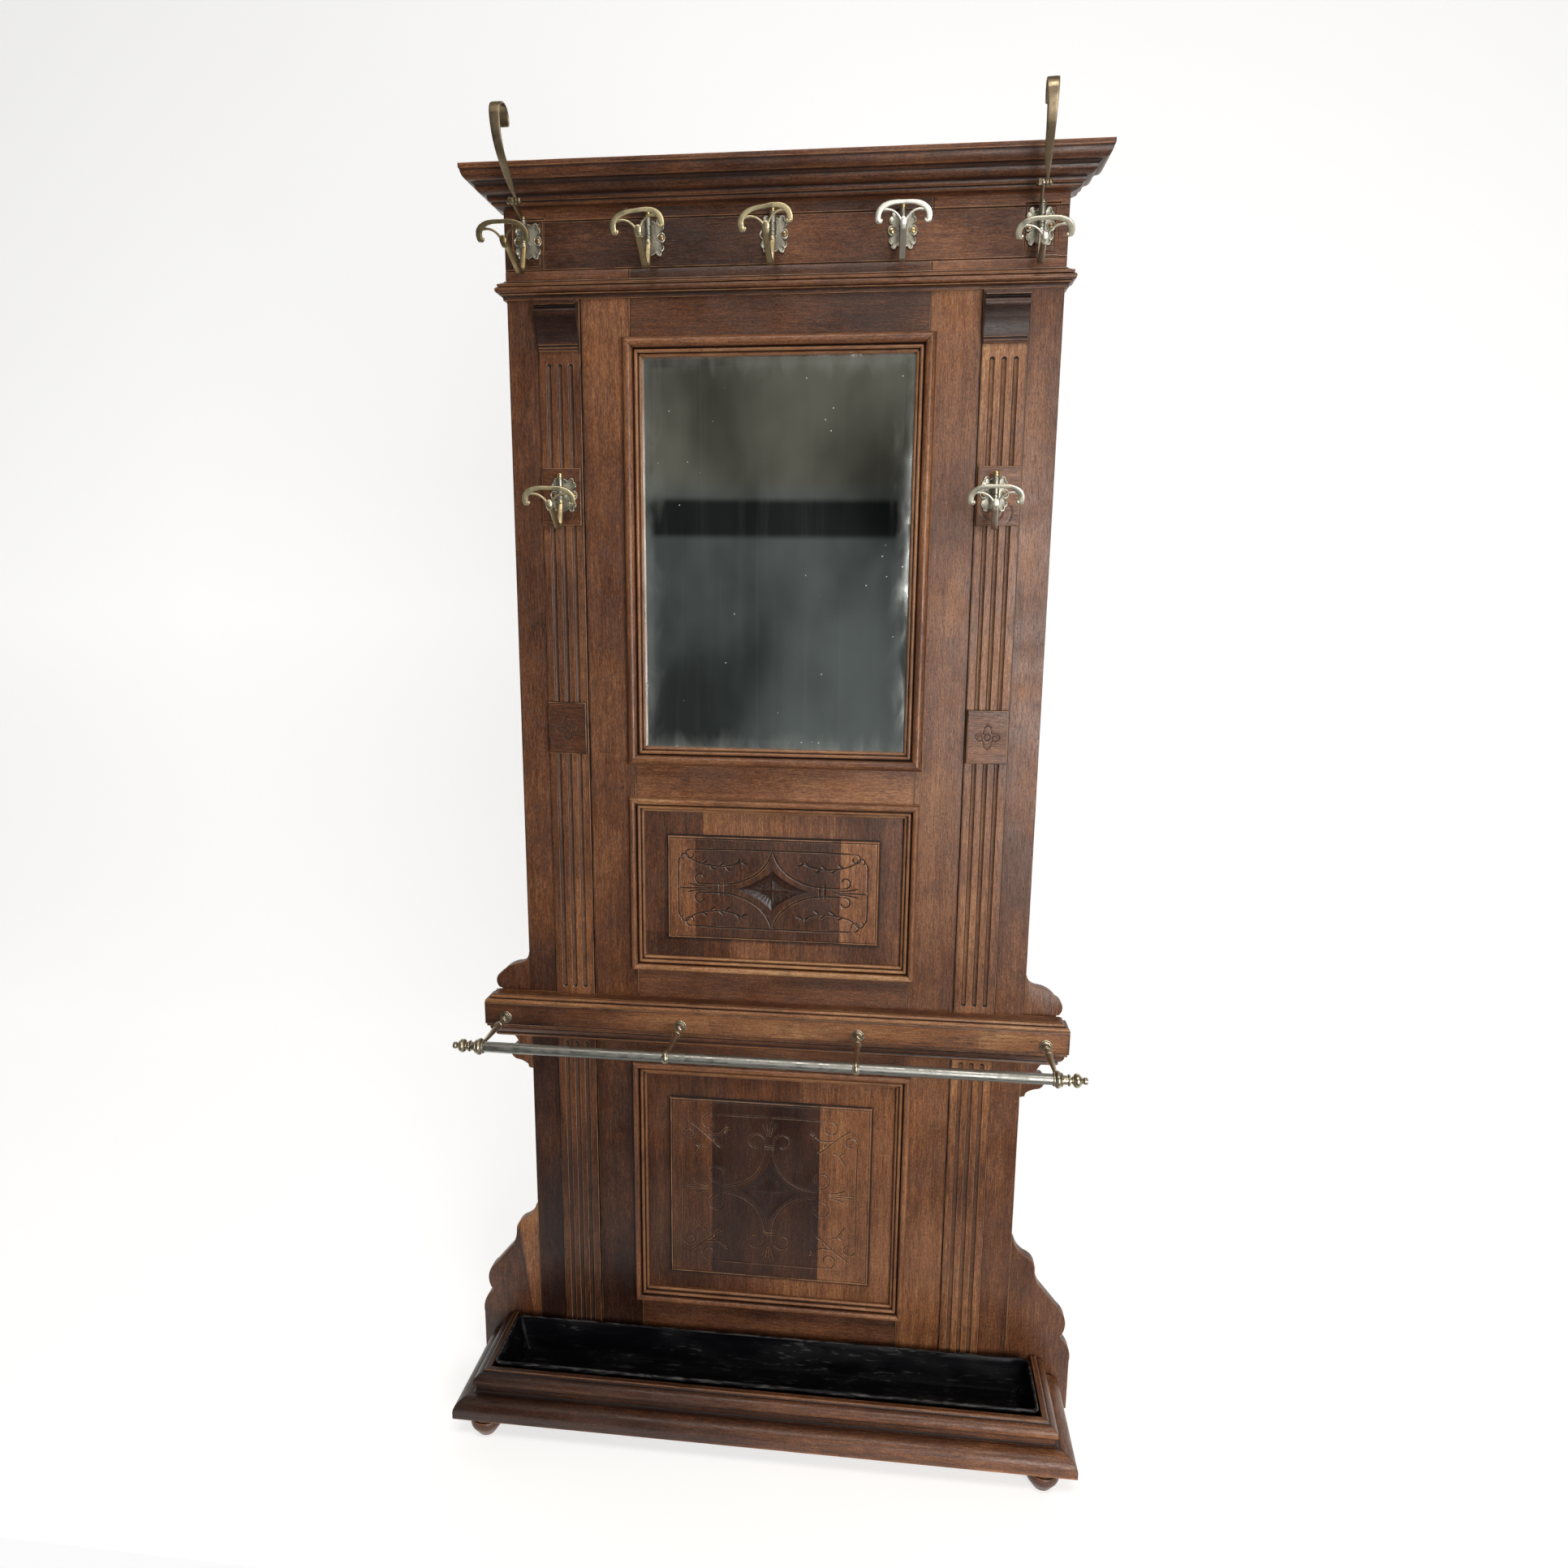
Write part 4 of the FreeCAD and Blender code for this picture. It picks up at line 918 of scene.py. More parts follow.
def leaf(x, z, heading, length, half=2.3):
    """A small gouged leaf that starts at (x, z)."""
    angle = math.radians(heading)
    t = np.linspace(0, length, 9)
    bow = 0.10 * length * np.sin(math.pi * t / length)
    points = np.stack([x + t * math.cos(angle) - bow * math.sin(angle),
                       z + t * math.sin(angle) + bow * math.cos(angle)], 1)
    return points, half, 1.5, "leaf"


def line_cut(points, half=1.4, deep=1.2):
    return smooth_line(points, 3.0), half, deep, "line"


def scroll_cut(*arguments):
    return curl(*arguments), 1.4, 1.2, "line"


def in_quadrants(strokes):
    """The strokes and their mirror images in both axes."""
    made = []
    for sx, sz in ((1, 1), (-1, 1), (1, -1), (-1, -1)):
        made += [(points * [sx, sz], *rest) for points, *rest in strokes]
    return made


def cut_depth(X, Z, strokes):
    """How deep the strokes cut at each point of a grid."""
    depth = np.zeros_like(X)
    xs, zs = X[:, 0], Z[0]
    for points, half, deep, kind in strokes:
        count = len(points) - 1
        for k in range(count):
            a, b = points[k], points[k + 1]
            t = (k + 0.5) / count
            grown = min(1.0, 0.45 + 6 * min(t, 1 - t))
            if kind == "leaf":
                grown = math.sin(math.pi * t) ** 0.7
            wide = half * grown
            low = np.minimum(a, b) - wide
            high = np.maximum(a, b) + wide
            i = slice(*np.searchsorted(xs, (low[0], high[0])))
            j = slice(*np.searchsorted(zs, (low[1], high[1])))
            x, z = X[i, j], Z[i, j]
            if x.size == 0:
                continue
            run = b - a
            gone = ((x - a[0]) * run[0] + (z - a[1]) * run[1]) / max(run @ run, 1e-9)
            gone = np.clip(gone, 0, 1)
            away = np.hypot(x - a[0] - gone * run[0], z - a[1] - gone * run[1])
            cut = deep * grown * np.clip(1 - away / wide, 0, 1) ** 0.75
            depth[i, j] = np.maximum(depth[i, j], cut)
    return depth


def sunk_star(u, v, half_u, half_v, deep):
    """A lozenge with hollow sides, sunk in four facets that meet in creases."""
    s = (np.abs(u) / half_u) ** 0.78 + (np.abs(v) / half_v) ** 0.78
    chatter = 1 + 0.10 * np.sin(np.arctan2(v, u) * 22) * np.clip(s, 0, 1)
    inside = np.clip(1 - s, 0, 1)
    facet = np.clip(inside * 2.6, 0, 1) ** 0.85
    rise = np.exp(-np.minimum(np.abs(u), np.abs(v)) / 1.6) * 0.5 * np.clip(inside * 4, 0, 1)
    return deep * chatter * facet * (1 - 0.45 * inside) - rise


def middle_strokes():
    star = [(0.6, 73), (4, 61), (12, 46), (26, 31), (46, 18.5), (68, 11), (92, 8.3), (126, 8)]
    sprig = [(151, 58), (138, 49), (118, 43.5), (92, 41), (66, 46), (50, 54)]
    quadrant = [
        line_cut(star, 1.35, 1.3), scroll_cut((129, 18.5), 10.5, -105, 0.78, 0.55),
        line_cut([(118, 3), (136, 4.5), (151, 8)]),
        line_cut(sprig), line_cut([(0, 72.5), (70, 72.5), (143, 71)]),
        scroll_cut((147, 61.5), 9.5, 100, -0.85, 0.45), scroll_cut((158, 56), 8, 195, -0.7, 0.5),
        leaf(128, 45, 150, 13), leaf(112, 42, 215, 12), leaf(97, 41, 140, 13),
        leaf(84, 42, 222, 12), leaf(66, 46, 130, 12), leaf(55, 51, 200, 13),
        line_cut([(169, 0), (169, 30), (168, 50), (163, 57)]),
    ]
    ties = [line_cut([(s * x, -12), (s * x, 12)]) for s in (-1, 1) for x in (85, 94)]
    tails = [line_cut([(s * 110, 0), (s * 140, -0.6), (s * 165, -1)], 1.5, 1.2) for s in (-1, 1)]
    return in_quadrants(quadrant) + ties + tails


def lower_strokes():
    quadrant = [
        line_cut([(6, 92), (8.5, 72), (16, 50), (29, 31), (47, 17.5), (69, 9), (92, 6)], 1.5, 1.1),
        scroll_cut((25, 101), 17.5, 205, -0.95, 0.55), scroll_cut((97, 30), 17.5, -112, 0.95, 0.55),
        line_cut([(3, 112), (8, 128), (13, 139)]), line_cut([(1, 114), (3, 132), (5, 145)]),
        line_cut([(113, 4), (128, 7), (142, 12)]), line_cut([(112, 1), (136, 1.6), (158, 2.4)]),
        line_cut([(0, 151), (50, 151), (104, 150)]), scroll_cut((112, 135), 15.5, 112, -0.88, 0.45),
        line_cut([(163, 0), (163, 50), (163.5, 104)]), scroll_cut((151, 108), 13, -8, 0.85, 0.45),
        line_cut([(88, 80), (112, 103), (134, 122), (152, 135)]),
        line_cut([(78, 133), (86, 118), (99, 110), (126, 112)]),
        line_cut([(128, 86), (134, 76), (142, 63)]),
        leaf(100, 91, 200, 12), leaf(102, 94, 75, 12), leaf(128, 86, 170, 10, 2.0),
        leaf(131, 82, 35, 11, 2.0), leaf(84, 122, 160, 10, 2.0), leaf(84, 121, 240, 9, 2.0),
    ]
    ties = [line_cut([(-9, v), (0, v - 1), (9, v)]) for v in (89, 94, -82, -87)]
    return in_quadrants(quadrant) + ties


FIELD_HALF = 189.0                  # half width of the raised field of a panel
FIELD_STEP = 4.0                    # how far it stands above the ground


def carved_panel(name, half_height, star, strokes, plank_edges, step, grime_and_painted_shading, tones, patches=()):
    """A panel with a raised field. Its planks are glued up side by side, the middle one,
    between plank_edges, darker. star is the (half width, half height, depth) of the sunk
    lozenge, and step the spacing of the points. The cuts are painted darker by grime, as
    shade in them; where grime is below 0 they are painted paler, as highlights on them.
    tones are of the middle, left and right planks, then of the ground on the left and
    right. patches of the ground are (left, right, low, high, tone)."""
    x0, x1, _, _, z0, z1 = cad(name)
    moulding = cad(name + "_moulding")
    middle = (moulding[4] + moulding[5]) / 2 + {"lower_panel": -6.0, "middle_panel": -4.5}[name]

    def inward(X, Z):
        return np.minimum(FIELD_HALF - np.abs(X), half_height - np.abs(Z - middle))

    def cuts(X, Z):
        """The strokes, a little unsteady as a hand cuts them."""
        wobble = 0.5 * ripple(X * 1.3, (Z - middle) * 1.3, 3.0)
        return cut_depth(X + wobble, Z - middle, strokes)

    def carve(X, Z):
        inside = inward(X, Z)
        slope = FIELD_STEP * (1 - np.sqrt(np.clip(inside / 2.4, 0, 1)))
        edge = np.where(inside < 0, FIELD_STEP, slope)
        bead = 0.9 * np.clip(1 - np.abs(inside - 4.6) / 1.3, 0, 1)
        carved = np.maximum(cuts(X, Z), sunk_star(X, Z - middle, *star))
        return edge + bead + np.where(inside > 6, carved, 0)

    def plank(X, Z):
        dark = (X > plank_edges[0]) & (X < plank_edges[1])
        field = (np.abs(X) < FIELD_HALF) & (np.abs(Z - middle) < half_height)
        on_field = np.where(dark, tones[0], np.where(X < 0, tones[1], tones[2]))
        ground = tones[3] + (tones[4] - tones[3]) * np.clip(0.5 + X / 300, 0, 1)
        tone = np.where(field, on_field, ground)
        for left, right, low, high, value in patches:
            patch = (X > left) & (X < right) & (Z > low) & (Z < high)
            tone = np.where(~field & patch, value, tone)
        inside = inward(X, Z)
        # A dark line is painted along the foot of the field's edge: painted shade in that crease.
        tone = tone - 0.34 * np.exp(-(inside / 1.6) ** 2)
        tone = tone + 0.1 * np.exp(-((inside - 4.6) / 1.4) ** 2)
        sunk = sunk_star(X, Z - middle, *star)
        # The sunk star is painted darker, as shade in its recess, and darker still where it is
        # shallow, along its rim and creases.
        in_star = tone - 0.05 * star[2] - 0.16 * (sunk < 0.35 * star[2])
        tone = np.where((sunk > 0.05) & (inside > 0), in_star, tone)
        # The cuts are painted darker, as shade in them; where the amount is below 0 they are
        # painted paler, as highlights.
        return tone - grime_and_painted_shading * np.clip(cuts(X, Z), 0, 1)

    fine = np.arange(-FIELD_HALF - 0.4, FIELD_HALF + 0.5, step)
    steep = np.array([-1.8, -1.2, -0.6, -0.05, 0.0])
    extra_x = np.concatenate([fine, FIELD_HALF + steep, -FIELD_HALF - steep,
                              np.arange(x0, -FIELD_HALF, 6), np.arange(FIELD_HALF + 2, x1, 6)])
    tall = np.arange(-half_height - 0.4, half_height + 0.5, step)
    extra_z = middle + np.concatenate([tall, half_height + steep, -half_height - steep])
    extra_z = np.concatenate([extra_z, np.arange(z0, middle - half_height, 6),
                              np.arange(middle + half_height + 2, z1, 6)])
    plain_board(name, "z", plank, 0.8, carve, step=FAR, warp=0.1, extra_x=extra_x,
                extra_z=extra_z)


def panels():
    z0, z1 = cad("middle_panel")[4:6]
    patches = [(-124, -17, z1 - 60, z1, 0.66), (-17, 110, z1 - 60, z1, 0.56),
               (-76, -4, z0, z0 + 58, 0.64), (-244, -124, z0, z0 + 58, 0.30)]
    # The right planks and the ground on the right are paler than on the left: painted light, as it
    # falls from the right.
    carved_panel("middle_panel", 95.5, (67, 38, 3.6), middle_strokes(), (-138, 120), step=1.15,
                 grime_and_painted_shading=0.55, tones=(0.28, 0.60, 0.72, 0.40, 0.44), patches=patches)
    # The cuts of the lower panel are painted paler than the ground, as highlights on them.
    carved_panel("lower_panel", 180.5, (58, 60, 1.7), lower_strokes(), (-108, 94), step=1.3,
                 grime_and_painted_shading=-0.36, tones=(0.10, 0.38, 0.59, 0.28, 0.55))


# ---- Frieze --------------------------------------------------------------------------
def frieze():
    """Its long field is sunk between two grooves, with a small frame at each end."""
    x1, z0 = cad("frieze_board")[1], cad("frieze_board")[4]
    crown = cad("cornice")[4]
    field_low, field_high = z0 + 16, crown - 17
    frame_x = (x1 - 66, x1 - 15)
    seam = cad("inner_stile_right")[0]

    def carve(X, Z):
        field = (Z > field_low) & (Z < field_high)
        deep = np.where(field, 0.8, 0.0)
        for edge in (field_low, field_high):
            deep = np.maximum(deep, 2.2 * np.clip(1 - np.abs(Z - edge) / 1.9, 0, 1))
        u = np.abs(X)
        ends = np.minimum(u - frame_x[0], frame_x[1] - u)
        inside = np.minimum(ends, np.minimum(Z - field_low - 2, field_high + 4 - Z))
        for line in (0.0, 6.0):
            deep = np.maximum(deep, 1.8 * np.clip(1 - np.abs(inside - line) / 1.6, 0, 1))
        band = ~field & (Z < crown)
        return np.maximum(deep, np.where(band, 1.2 * np.clip(1 - np.abs(u - seam) / 0.7, 0, 1), 0))

    def tone(X, Z):
        band = (Z > field_high) | (Z < field_low)
        strips = np.where(np.abs(X) > seam, 0.50, 0.28)
        return np.where(band, strips, 0.24 + 0.16 * (X > 0))

    near = np.arange(-2.4, 9.5, 0.8)
    joint = seam + np.array([-0.8, 0, 0.8])
    extra_x = np.concatenate([frame_x[0] + near, frame_x[1] - near, joint])
    extra_z = np.concatenate([field_low + near, field_high - near + 5])
    plain_board("frieze_board", "x", tone, 0.8, carve, step=14.0, warp=0.15,
                extra_x=np.concatenate([extra_x, -extra_x]), extra_z=extra_z)


# ---- Mirror and its backboard --------------------------------------------------------
def mirror():
    """Bevelled plate. Its rim attribute is 1 at the edge and 0 well inside."""
    x0, x1, y0, y1, z0, z1 = cad("mirror_glass")
    bevel = 34.0
    reach = 95.0

    def inward(X, Z):
        return np.minimum(np.minimum(X - x0, x1 - X), np.minimum(Z - z0, z1 - Z))

    def carve(X, Z):
        return np.clip(1 - inward(X, Z) / bevel, 0, 1)

    marks = np.concatenate([[bevel], np.arange(12, reach + 30, 12)])
    shells = Shells()
    slab(shells, (x0, x1), (z0, z1), (y0, y1), "z", 0.5, 0.6, carve, 40.0, 0.0,
         np.concatenate([x0 + marks, x1 - marks]), np.concatenate([z0 + marks, z1 - marks]))
    plate = shells.piece("mirror_plate", "stand", ["mirror_glass"], "mirror", 2.0)
    place = np.array([v.co for v in plate.data.vertices]) / MM
    rim = np.clip(1 - inward(place[:, 0], place[:, 2]) / reach, 0, 1)
    store(plate.data, "rim", "FLOAT", rim)


def backboard():
    """Four sawn boards, side by side behind the glass."""
    x0, x1, y0, y1, z0, z1 = cad("mirror_backboard")
    shells = Shells()
    edges = np.linspace(x0, x1, 5)
    for a, b in zip(edges[:-1], edges[1:]):
        slab(shells, (a + 0.4, b - 0.4), (z0, z1), (y0, y1), "z", 0.5, 0.8, None, 30.0, 0.1)
    shells.piece("planks_mirror_back", "stand", ["mirror_backboard"], "pine_board")


# ---- Feet, tray and umbrella rail ----------------------------------------------------
def feet():
    shells = Shells()
    for half in HALVES:
        x0, x1, y0, y1, z0, z1 = cad("feet", *half)
        r = (x1 - x0) / 2 * 0.995
        profile = [(z0, r * 0.46), (z0 + 1, r * 0.53), (z0 + 15, r * 0.86),
                   (24, r * 0.995, z1 - 7, r * 0.94), (z1 - 6.4, r * 0.80), (z1 - 5, r * 0.80),
                   (z1 - 4, r * 0.88), (z1, r * 0.88)]
        turned(shells, ((x0 + x1) / 2, (y0 + y1) / 2, 0), UPWARDS, profile, 56, 0.34, 1.5, 0.8,
               uneven=0.004)
    shells.wood("feet")


def rounded_rectangle(half, y0, y1, radius):
    """Points round a rectangle with rounded corners: the same number for any size."""
    made = []
    corners = [(half, y1, 0), (-half, y1, 90), (-half, y0, 180), (half, y0, 270)]
    runs = [43, 5] * 2              # points along a long side and along a short side
    for (cx, cy, first), run in zip(corners, runs):
        centre = np.array([cx - math.copysign(radius, cx), cy + (-radius if cy == y1 else radius)])
        angles = np.radians(first + np.linspace(0, 90, 8))
        made.append(centre + radius * np.stack([np.cos(angles), np.sin(angles)], 1))
        made.append(np.full((run, 2), np.nan))
    made = np.concatenate(made)
    known = np.nonzero(~np.isnan(made[:, 0]))[0]
    place = np.arange(len(made))
    marks = np.append(known, len(made))
    return np.stack([np.interp(place, marks, np.append(made[known, k], made[0, k]))
                     for k in (0, 1)], 1)


def tray():
    """An open trough with a rolled rim. level gives the points round it at one height:
    share goes from 0 at the floor to 1 at the rim, and bow dents its long sides."""
    x1, y0, y1, z0, z1 = cad("drip_tray")[1:]
    wall = 1.6
    rim = 2.9
    top = (x1 - rim, y0 + rim, y1 - rim)
    floor = (x1 - rim - 19.5, y0 + rim + 16.5, y1 - rim - 15)
    rise = z1 - rim - z0

    def level(share, inset, z, bow=0.0):
        half, front, back = (f + (t - f) * share for f, t in zip(floor, top))
        radius = 7 + 3 * share - inset * 0.15
        points = rounded_rectangle(half - inset, front + inset, back - inset, radius)
        waves = np.sin(points[:, 0] / 61.0 + points[:, 1] / 40)
        dent = bow * waves * np.sin(points[:, 0] / 143.0 + 1)
        points[:, 1] += dent * np.sign(points[:, 1] - (front + back) / 2)
        return np.column_stack([points, np.full(len(points), z)])

    rings = [level(0, 30, z0), level(0, 2.2, z0), level(0.02, 0.3, z0 + 1.2)]
    rings += [level(t, 0, z0 + rise * t, 0.9 * math.sin(math.pi * t))
              for t in (0.1, 0.3, 0.5, 0.7, 0.86)]
    low_z = z1 - 2 * rim
    for angle in range(-150, 151, 30):
        a = math.radians(angle)
        rings.append(level(1, 0.4 - rim * 0.97 * math.cos(a), low_z + rim + rim * math.sin(a)))
    rings += [level(t, wall, z0 + wall + (rise - wall) * t, 0.9 * math.sin(math.pi * t))
              for t in (0.86, 0.7, 0.5, 0.3, 0.1)]
    rings += [level(0, wall + 1.5, z0 + wall + 0.6), level(0, 5, z0 + wall),
              level(0, 30, z0 + wall)]
    shells = Shells()
    shells.add(np.concatenate(rings), capped_faces(len(rings), len(rings[0])))
    shells.piece("tray_enamel", "tray", ["drip_tray"], "tray_black")


def umbrella_rail():
    x0, x1, y0, y1, z0, z1 = cad("rail_tube")
    y, z, r = (y0 + y1) / 2, (z0 + z1) / 2, (z1 - z0) / 2
    shells = Shells()
    profile = [(x, r - 0.05) for x in np.linspace(x0, x1, 120)]
    turned(shells, (0, y, z), (1, 0, 0), profile, 48, uneven=0.0015)
    shells.piece("tube_rail", "stand", ["rail_tube"], "rail_steel")

    wall = cad("rail_arms")[3]
    length = wall - y - r + 1
    stem = [(0, 11.1), (1.6, 11.1), (2.2, 10.3), (2.2, 9.0), (3.0, 8.9), (4.2, 8.2), (4.4, 6.6),
            (5.4, 5.8), (10.5, 7, 15.5, 4.2), (17, 4.4), (17.6, 5.2), (18.6, 5.2), (19.2, 3.6),
            (33, 4.9), (33.6, 6.1), (35, 6.1), (35.3, 5.3), (36.2, 6.8), (38, 7.0, 39.8, 6.6),
            (40.4, 5.3),
            (41.4, 5.9), (42.4, 5.6), (43, 5.2), (45, 5.5), (100, 3.4), (length, 3.6)]
    middle_loop = [(-5.5, r), (-5.5, 10.4), (-4.6, 11.2), (-3.6, 11.2), (0, 12.5, 3.6, 11.2),
                   (4.6, 11.2), (5.5, 10.4), (5.5, r)]
    end_loop = [(-8, r), (-8, 10.2), (-7, 11.4), (-5.6, 11.4), (-5, 10.8), (-4, 11.6),
                (0, 14.1, 4, 11.6), (5, 10.8), (5.8, 11.4), (7, 11.2), (8, 9.2), (8, r)]
    ends = cad("rail_arms")[1]
    middle_x = 159.0
    outer = ends - 8
    shells = Shells()
    for x in (-outer, -middle_x, middle_x, outer):
        turned(shells, (x, wall, z), OUTWARDS, stem, 32, soft=0.35)
        loop = end_loop if abs(x) == outer else middle_loop
        turned(shells, (x, y, z), (math.copysign(1, x), 0, 0), loop, 48, soft=0.35, ring=True)
    shells.piece("brass_rail_arms", "stand", ["rail_arms"], "rail_brass")

    shells = Shells()
    tip = [(0.2, 7.8), (7.6, 7.3), (8.2, 8.8), (8.8, 9.5), (10.6, 9.5), (11.2, 8.6), (11.6, 5),
           (14, 4.6), (14.6, 6.3), (15.8, 6.5), (16.2, 5.6), (17, 8.4), (19, 10.6, 22, 11.5),
           (24, 11.5),
           (27, 9.2, 30, 5.4), (32, 4.4), (33, 5.2), (34, 5.9), (38, 5.6), (39, 4.2), (39, 0.5)]
    for side in (-1, 1):
        turned(shells, (side * ends, y, z), (side, 0, 0), tip, 48, soft=0.4)
    shells.piece("brass_rail_finials", "stand", ["rail_finials"], "rail_brass")


# ---- Hooks ---------------------------------------------------------------------------
AXIS_OUT = 20.0                     # swivel axis, out from the wall
DROOP_AT = (20.0, -14.0)            # where a hook that droops turns, as (out, up)
KNUCKLE = (57.0, 43.0)              # bolt of a hat arm, as (out, up)
PIN_R = 3.0
BAR_OUT = 123.0                     # crossbar, out from the wall
LEAN = math.radians(70.0)           # of the crossbar, up from level
WITH_ARM = (1, 5)                   # the hooks that carry a hat arm
# hook number: swivel, roll and droop in degrees, finish, tone of its strap and of its bar
HANG = {
    1: (-1, 0, 5, "old_brass", 0.24, 0.27), 2: (1, -7, 0, "old_brass", 0.32, 0.62),
    3: (-2, -8, 0, "old_brass", 0.32, 0.62), 4: (0, 0, 0, "nickel", 0.40, 0.60),
    5: (-4, 0, 15, "nickel", 0.25, 0.74), 6: (6, 0, 0, "old_brass", 0.28, 0.55),
    7: (-5, 0, 0, "nickel", 0.36, 0.70),
}


def strap_path(start, heading, steps, spacing=2.0):
    """Points along lines (length,) and turns (radius, degrees), from a heading."""
    here = np.asarray(start, float)
    angle = math.radians(heading)
    made = [here]
    for step in steps:
        if len(step) == 1:
            count = max(2, int(step[0] / spacing))
            ahead = np.array([math.cos(angle), math.sin(angle)])
            made += [here + ahead * step[0] * k / count for k in range(1, count + 1)]
        else:
            radius, turn = step[0], math.radians(step[1])
            count = max(6, int(radius * abs(turn) / spacing))
            centre = here + radius * np.array([-math.sin(angle), math.cos(angle)])
            for k in range(1, count + 1):
                a = angle + turn * k / count
                made.append(centre + radius * np.array([math.sin(a), -math.cos(a)]))
            angle += turn
        here = made[-1]
    return np.array(made)


class Place:
    """Turns (across, out, up) of one hook into the row frame."""

    def __init__(self, number):
        near = cad(("hat_bolt_%d" if number in WITH_ARM else "pin_cap_%d") % number)
        x = (near[0] + near[1]) / 2
        band = cad("coat_hook_%d" % number)
        points = cad_points("hook_plates")
        near_x = abs(points[:, 0] - x) < 27
        own = points[near_x & (points[:, 2] > band[4] - 5) & (points[:, 2] < band[5] + 5)]
        low, high = own.min(0), own.max(0)
        self.plate = (low[0] + high[0]) / 2, high[1], (low[2] + high[2]) / 2
        self.turn = math.radians(HANG[number][0])
        self.droop = math.radians(HANG[number][2])

    def at(self, across, out, up, hung=True):
        if hung:
            c, s = math.cos(-self.droop), math.sin(-self.droop)
            a, b = out - DROOP_AT[0], up - DROOP_AT[1]
            out, up = DROOP_AT[0] + a * c - b * s, DROOP_AT[1] + a * s + b * c
        c, s = math.cos(self.turn), math.sin(self.turn)
        y = -(out - AXIS_OUT)
        x0, wall, z0 = self.plate
        return np.array([x0 + across * c - y * s, wall - AXIS_OUT + across * s + y * c, z0 + up])

    def across(self):
        return np.array([math.cos(self.turn), math.sin(self.turn), 0.0])


def crossbar(shells, place, roll, tone):
    """Flat bowed bar whose ends swell and curl in, on a fork of two thin braces."""
    turn = math.radians(roll)

    def bar_point(s, t):
        across = s * math.cos(turn) + t * math.sin(turn)
        rise = t * math.cos(turn) - s * math.sin(turn)
        return place.at(across, BAR_OUT + rise * math.cos(LEAN), rise * math.sin(LEAN))

    flat = np.cross(bar_point(1, 0) - bar_point(0, 0), bar_point(0, 1) - bar_point(0, 0))
    half = [(0, 1), (12, 0.9), (22, -0.8), (30, -4.4), (35.4, -10), (37.4, -16.5), (36.8, -22.5)]
    line = smooth_line([(-s, t) for s, t in half[:0:-1]] + half, 2.2)
    bar = np.array([bar_point(s, t) for s, t in line])
    swept(shells, bar, along([2.2, 2.3, 2.0, 1.8, 2.0, 2.3, 2.2]),
          along([4.4, 4.6, 3.8, 3.1, 2.9, 3.1, 3.8, 4.6, 4.4]), flat, 5.0, tone=tone)
    for side in (-1, 1):
        curled = smooth_line([(side * 36.8, -22), (side * 34.2, -24.4), (side * 31.8, -22.4)], 1.2)
        swept(shells, [bar_point(s, t) for s, t in curled], steady(2.3), along([3.9, 3.0, 2.1]),
              flat, 2.6, 16, tone)
        brace = smooth_line([(side * 1.5, -28), (side * 5, -19.5), (side * 11.5, -12.5),
                             (side * 20, -8.8), (side * 31, -8.2)], 2.0)
        swept(shells, [bar_point(s, t) for s, t in brace], steady(1.7),
              along([2.4, 1.8, 1.6, 1.7, 2.5]), flat, 2.6, 16, tone - 0.06)
    neck = smooth_line([(0, -31), (0, -27), (0, -23.4)], 1.2)
    swept(shells, [bar_point(s, t) for s, t in neck], along([2.6, 3.3, 2.4]),
          along([4.6, 5.4, 6.0]), flat, 2.8, tone=tone - 0.06)


def hook(number):
    place = Place(number)
    _, roll, _, finish, strap_tone, bar_tone = HANG[number]
    shells = Shells()
    x, wall, z = place.plate
    axis = (x, wall - AXIS_OUT, z)
    collar = [(-15.2, 3.2), (-15, 4.8), (-14, 5.5), (-9.6, 5.5), (-8.8, 5.2), (-8.4, 4.4),
              (-8.4, 0.5)]
    turned(shells, axis, UPWARDS, collar, 32, soft=0.4)
    turned(shells, axis, UPWARDS, [(-12, PIN_R), (28, PIN_R)], 24)
    strap = strap_path((AXIS_OUT, -12.5), -68, [(37.0,), (14.0, 98.0), (67.0,)])
    line = [place.at(0, out, up) for out, up in strap]
    swept(shells, line, along([4.8, 4.9, 5.1, 5.5, 5.5, 5.3, 5.1, 4.9, 4.8, 4.8, 4.9]),
          along([2.9, 2.8, 3.0, 3.3, 3.2, 3.0, 2.8, 2.6, 2.5, 2.5, 2.5]), place.across(), 2.8, 24,
          strap_tone)
    crossbar(shells, place, roll, bar_tone)
    if number in WITH_ARM:
        post = [(26.4, 2.0), (26.4, 5.0), (27.2, 5.5), (30.4, 5.5), (31.2, 4.8), (31.2, 0.5)]
        turned(shells, axis, UPWARDS, post, 32, strap_tone, soft=0.4)
        lug = [place.at(a, out, up, False) for a, out, up in
               ((-0.6, 19, 28.6), (-2.0, 28, 32.2), (-2.65, 42, 37.4), (-2.65, 54, 41.8))]
        swept(shells, smooth_line(lug, 2.5), steady(2.35), along([4.2, 4.2, 4.3, 4.8]),
              place.across(), 3.6, tone=strap_tone)
        eye_ring(shells, place, -2.65, strap_tone)
    name = "coat_hook_%d" % number
    shells.piece("cast_" + name, "hook_%d" % number, [name], finish)
    if number in WITH_ARM:
        hat_bolt(number, place)
        hat_arm(number, place)
    else:
        shells = Shells()
        cap = [(26.35, 3.4), (26.35, 4.6), (27.1, 5.15), (29.0, 5.15), (29.5, 4.6), (30.1, 5.0),
               (32.4, 4.95), (33.2, 4.4), (33.6, 3.4), (33.65, 0.5)]
        turned(shells, axis, UPWARDS, cap, 32, soft=0.3)
        name = "pin_cap_%d" % number
        shells.piece("turned_" + name, "hook_%d" % number, [name], "brass_cap")


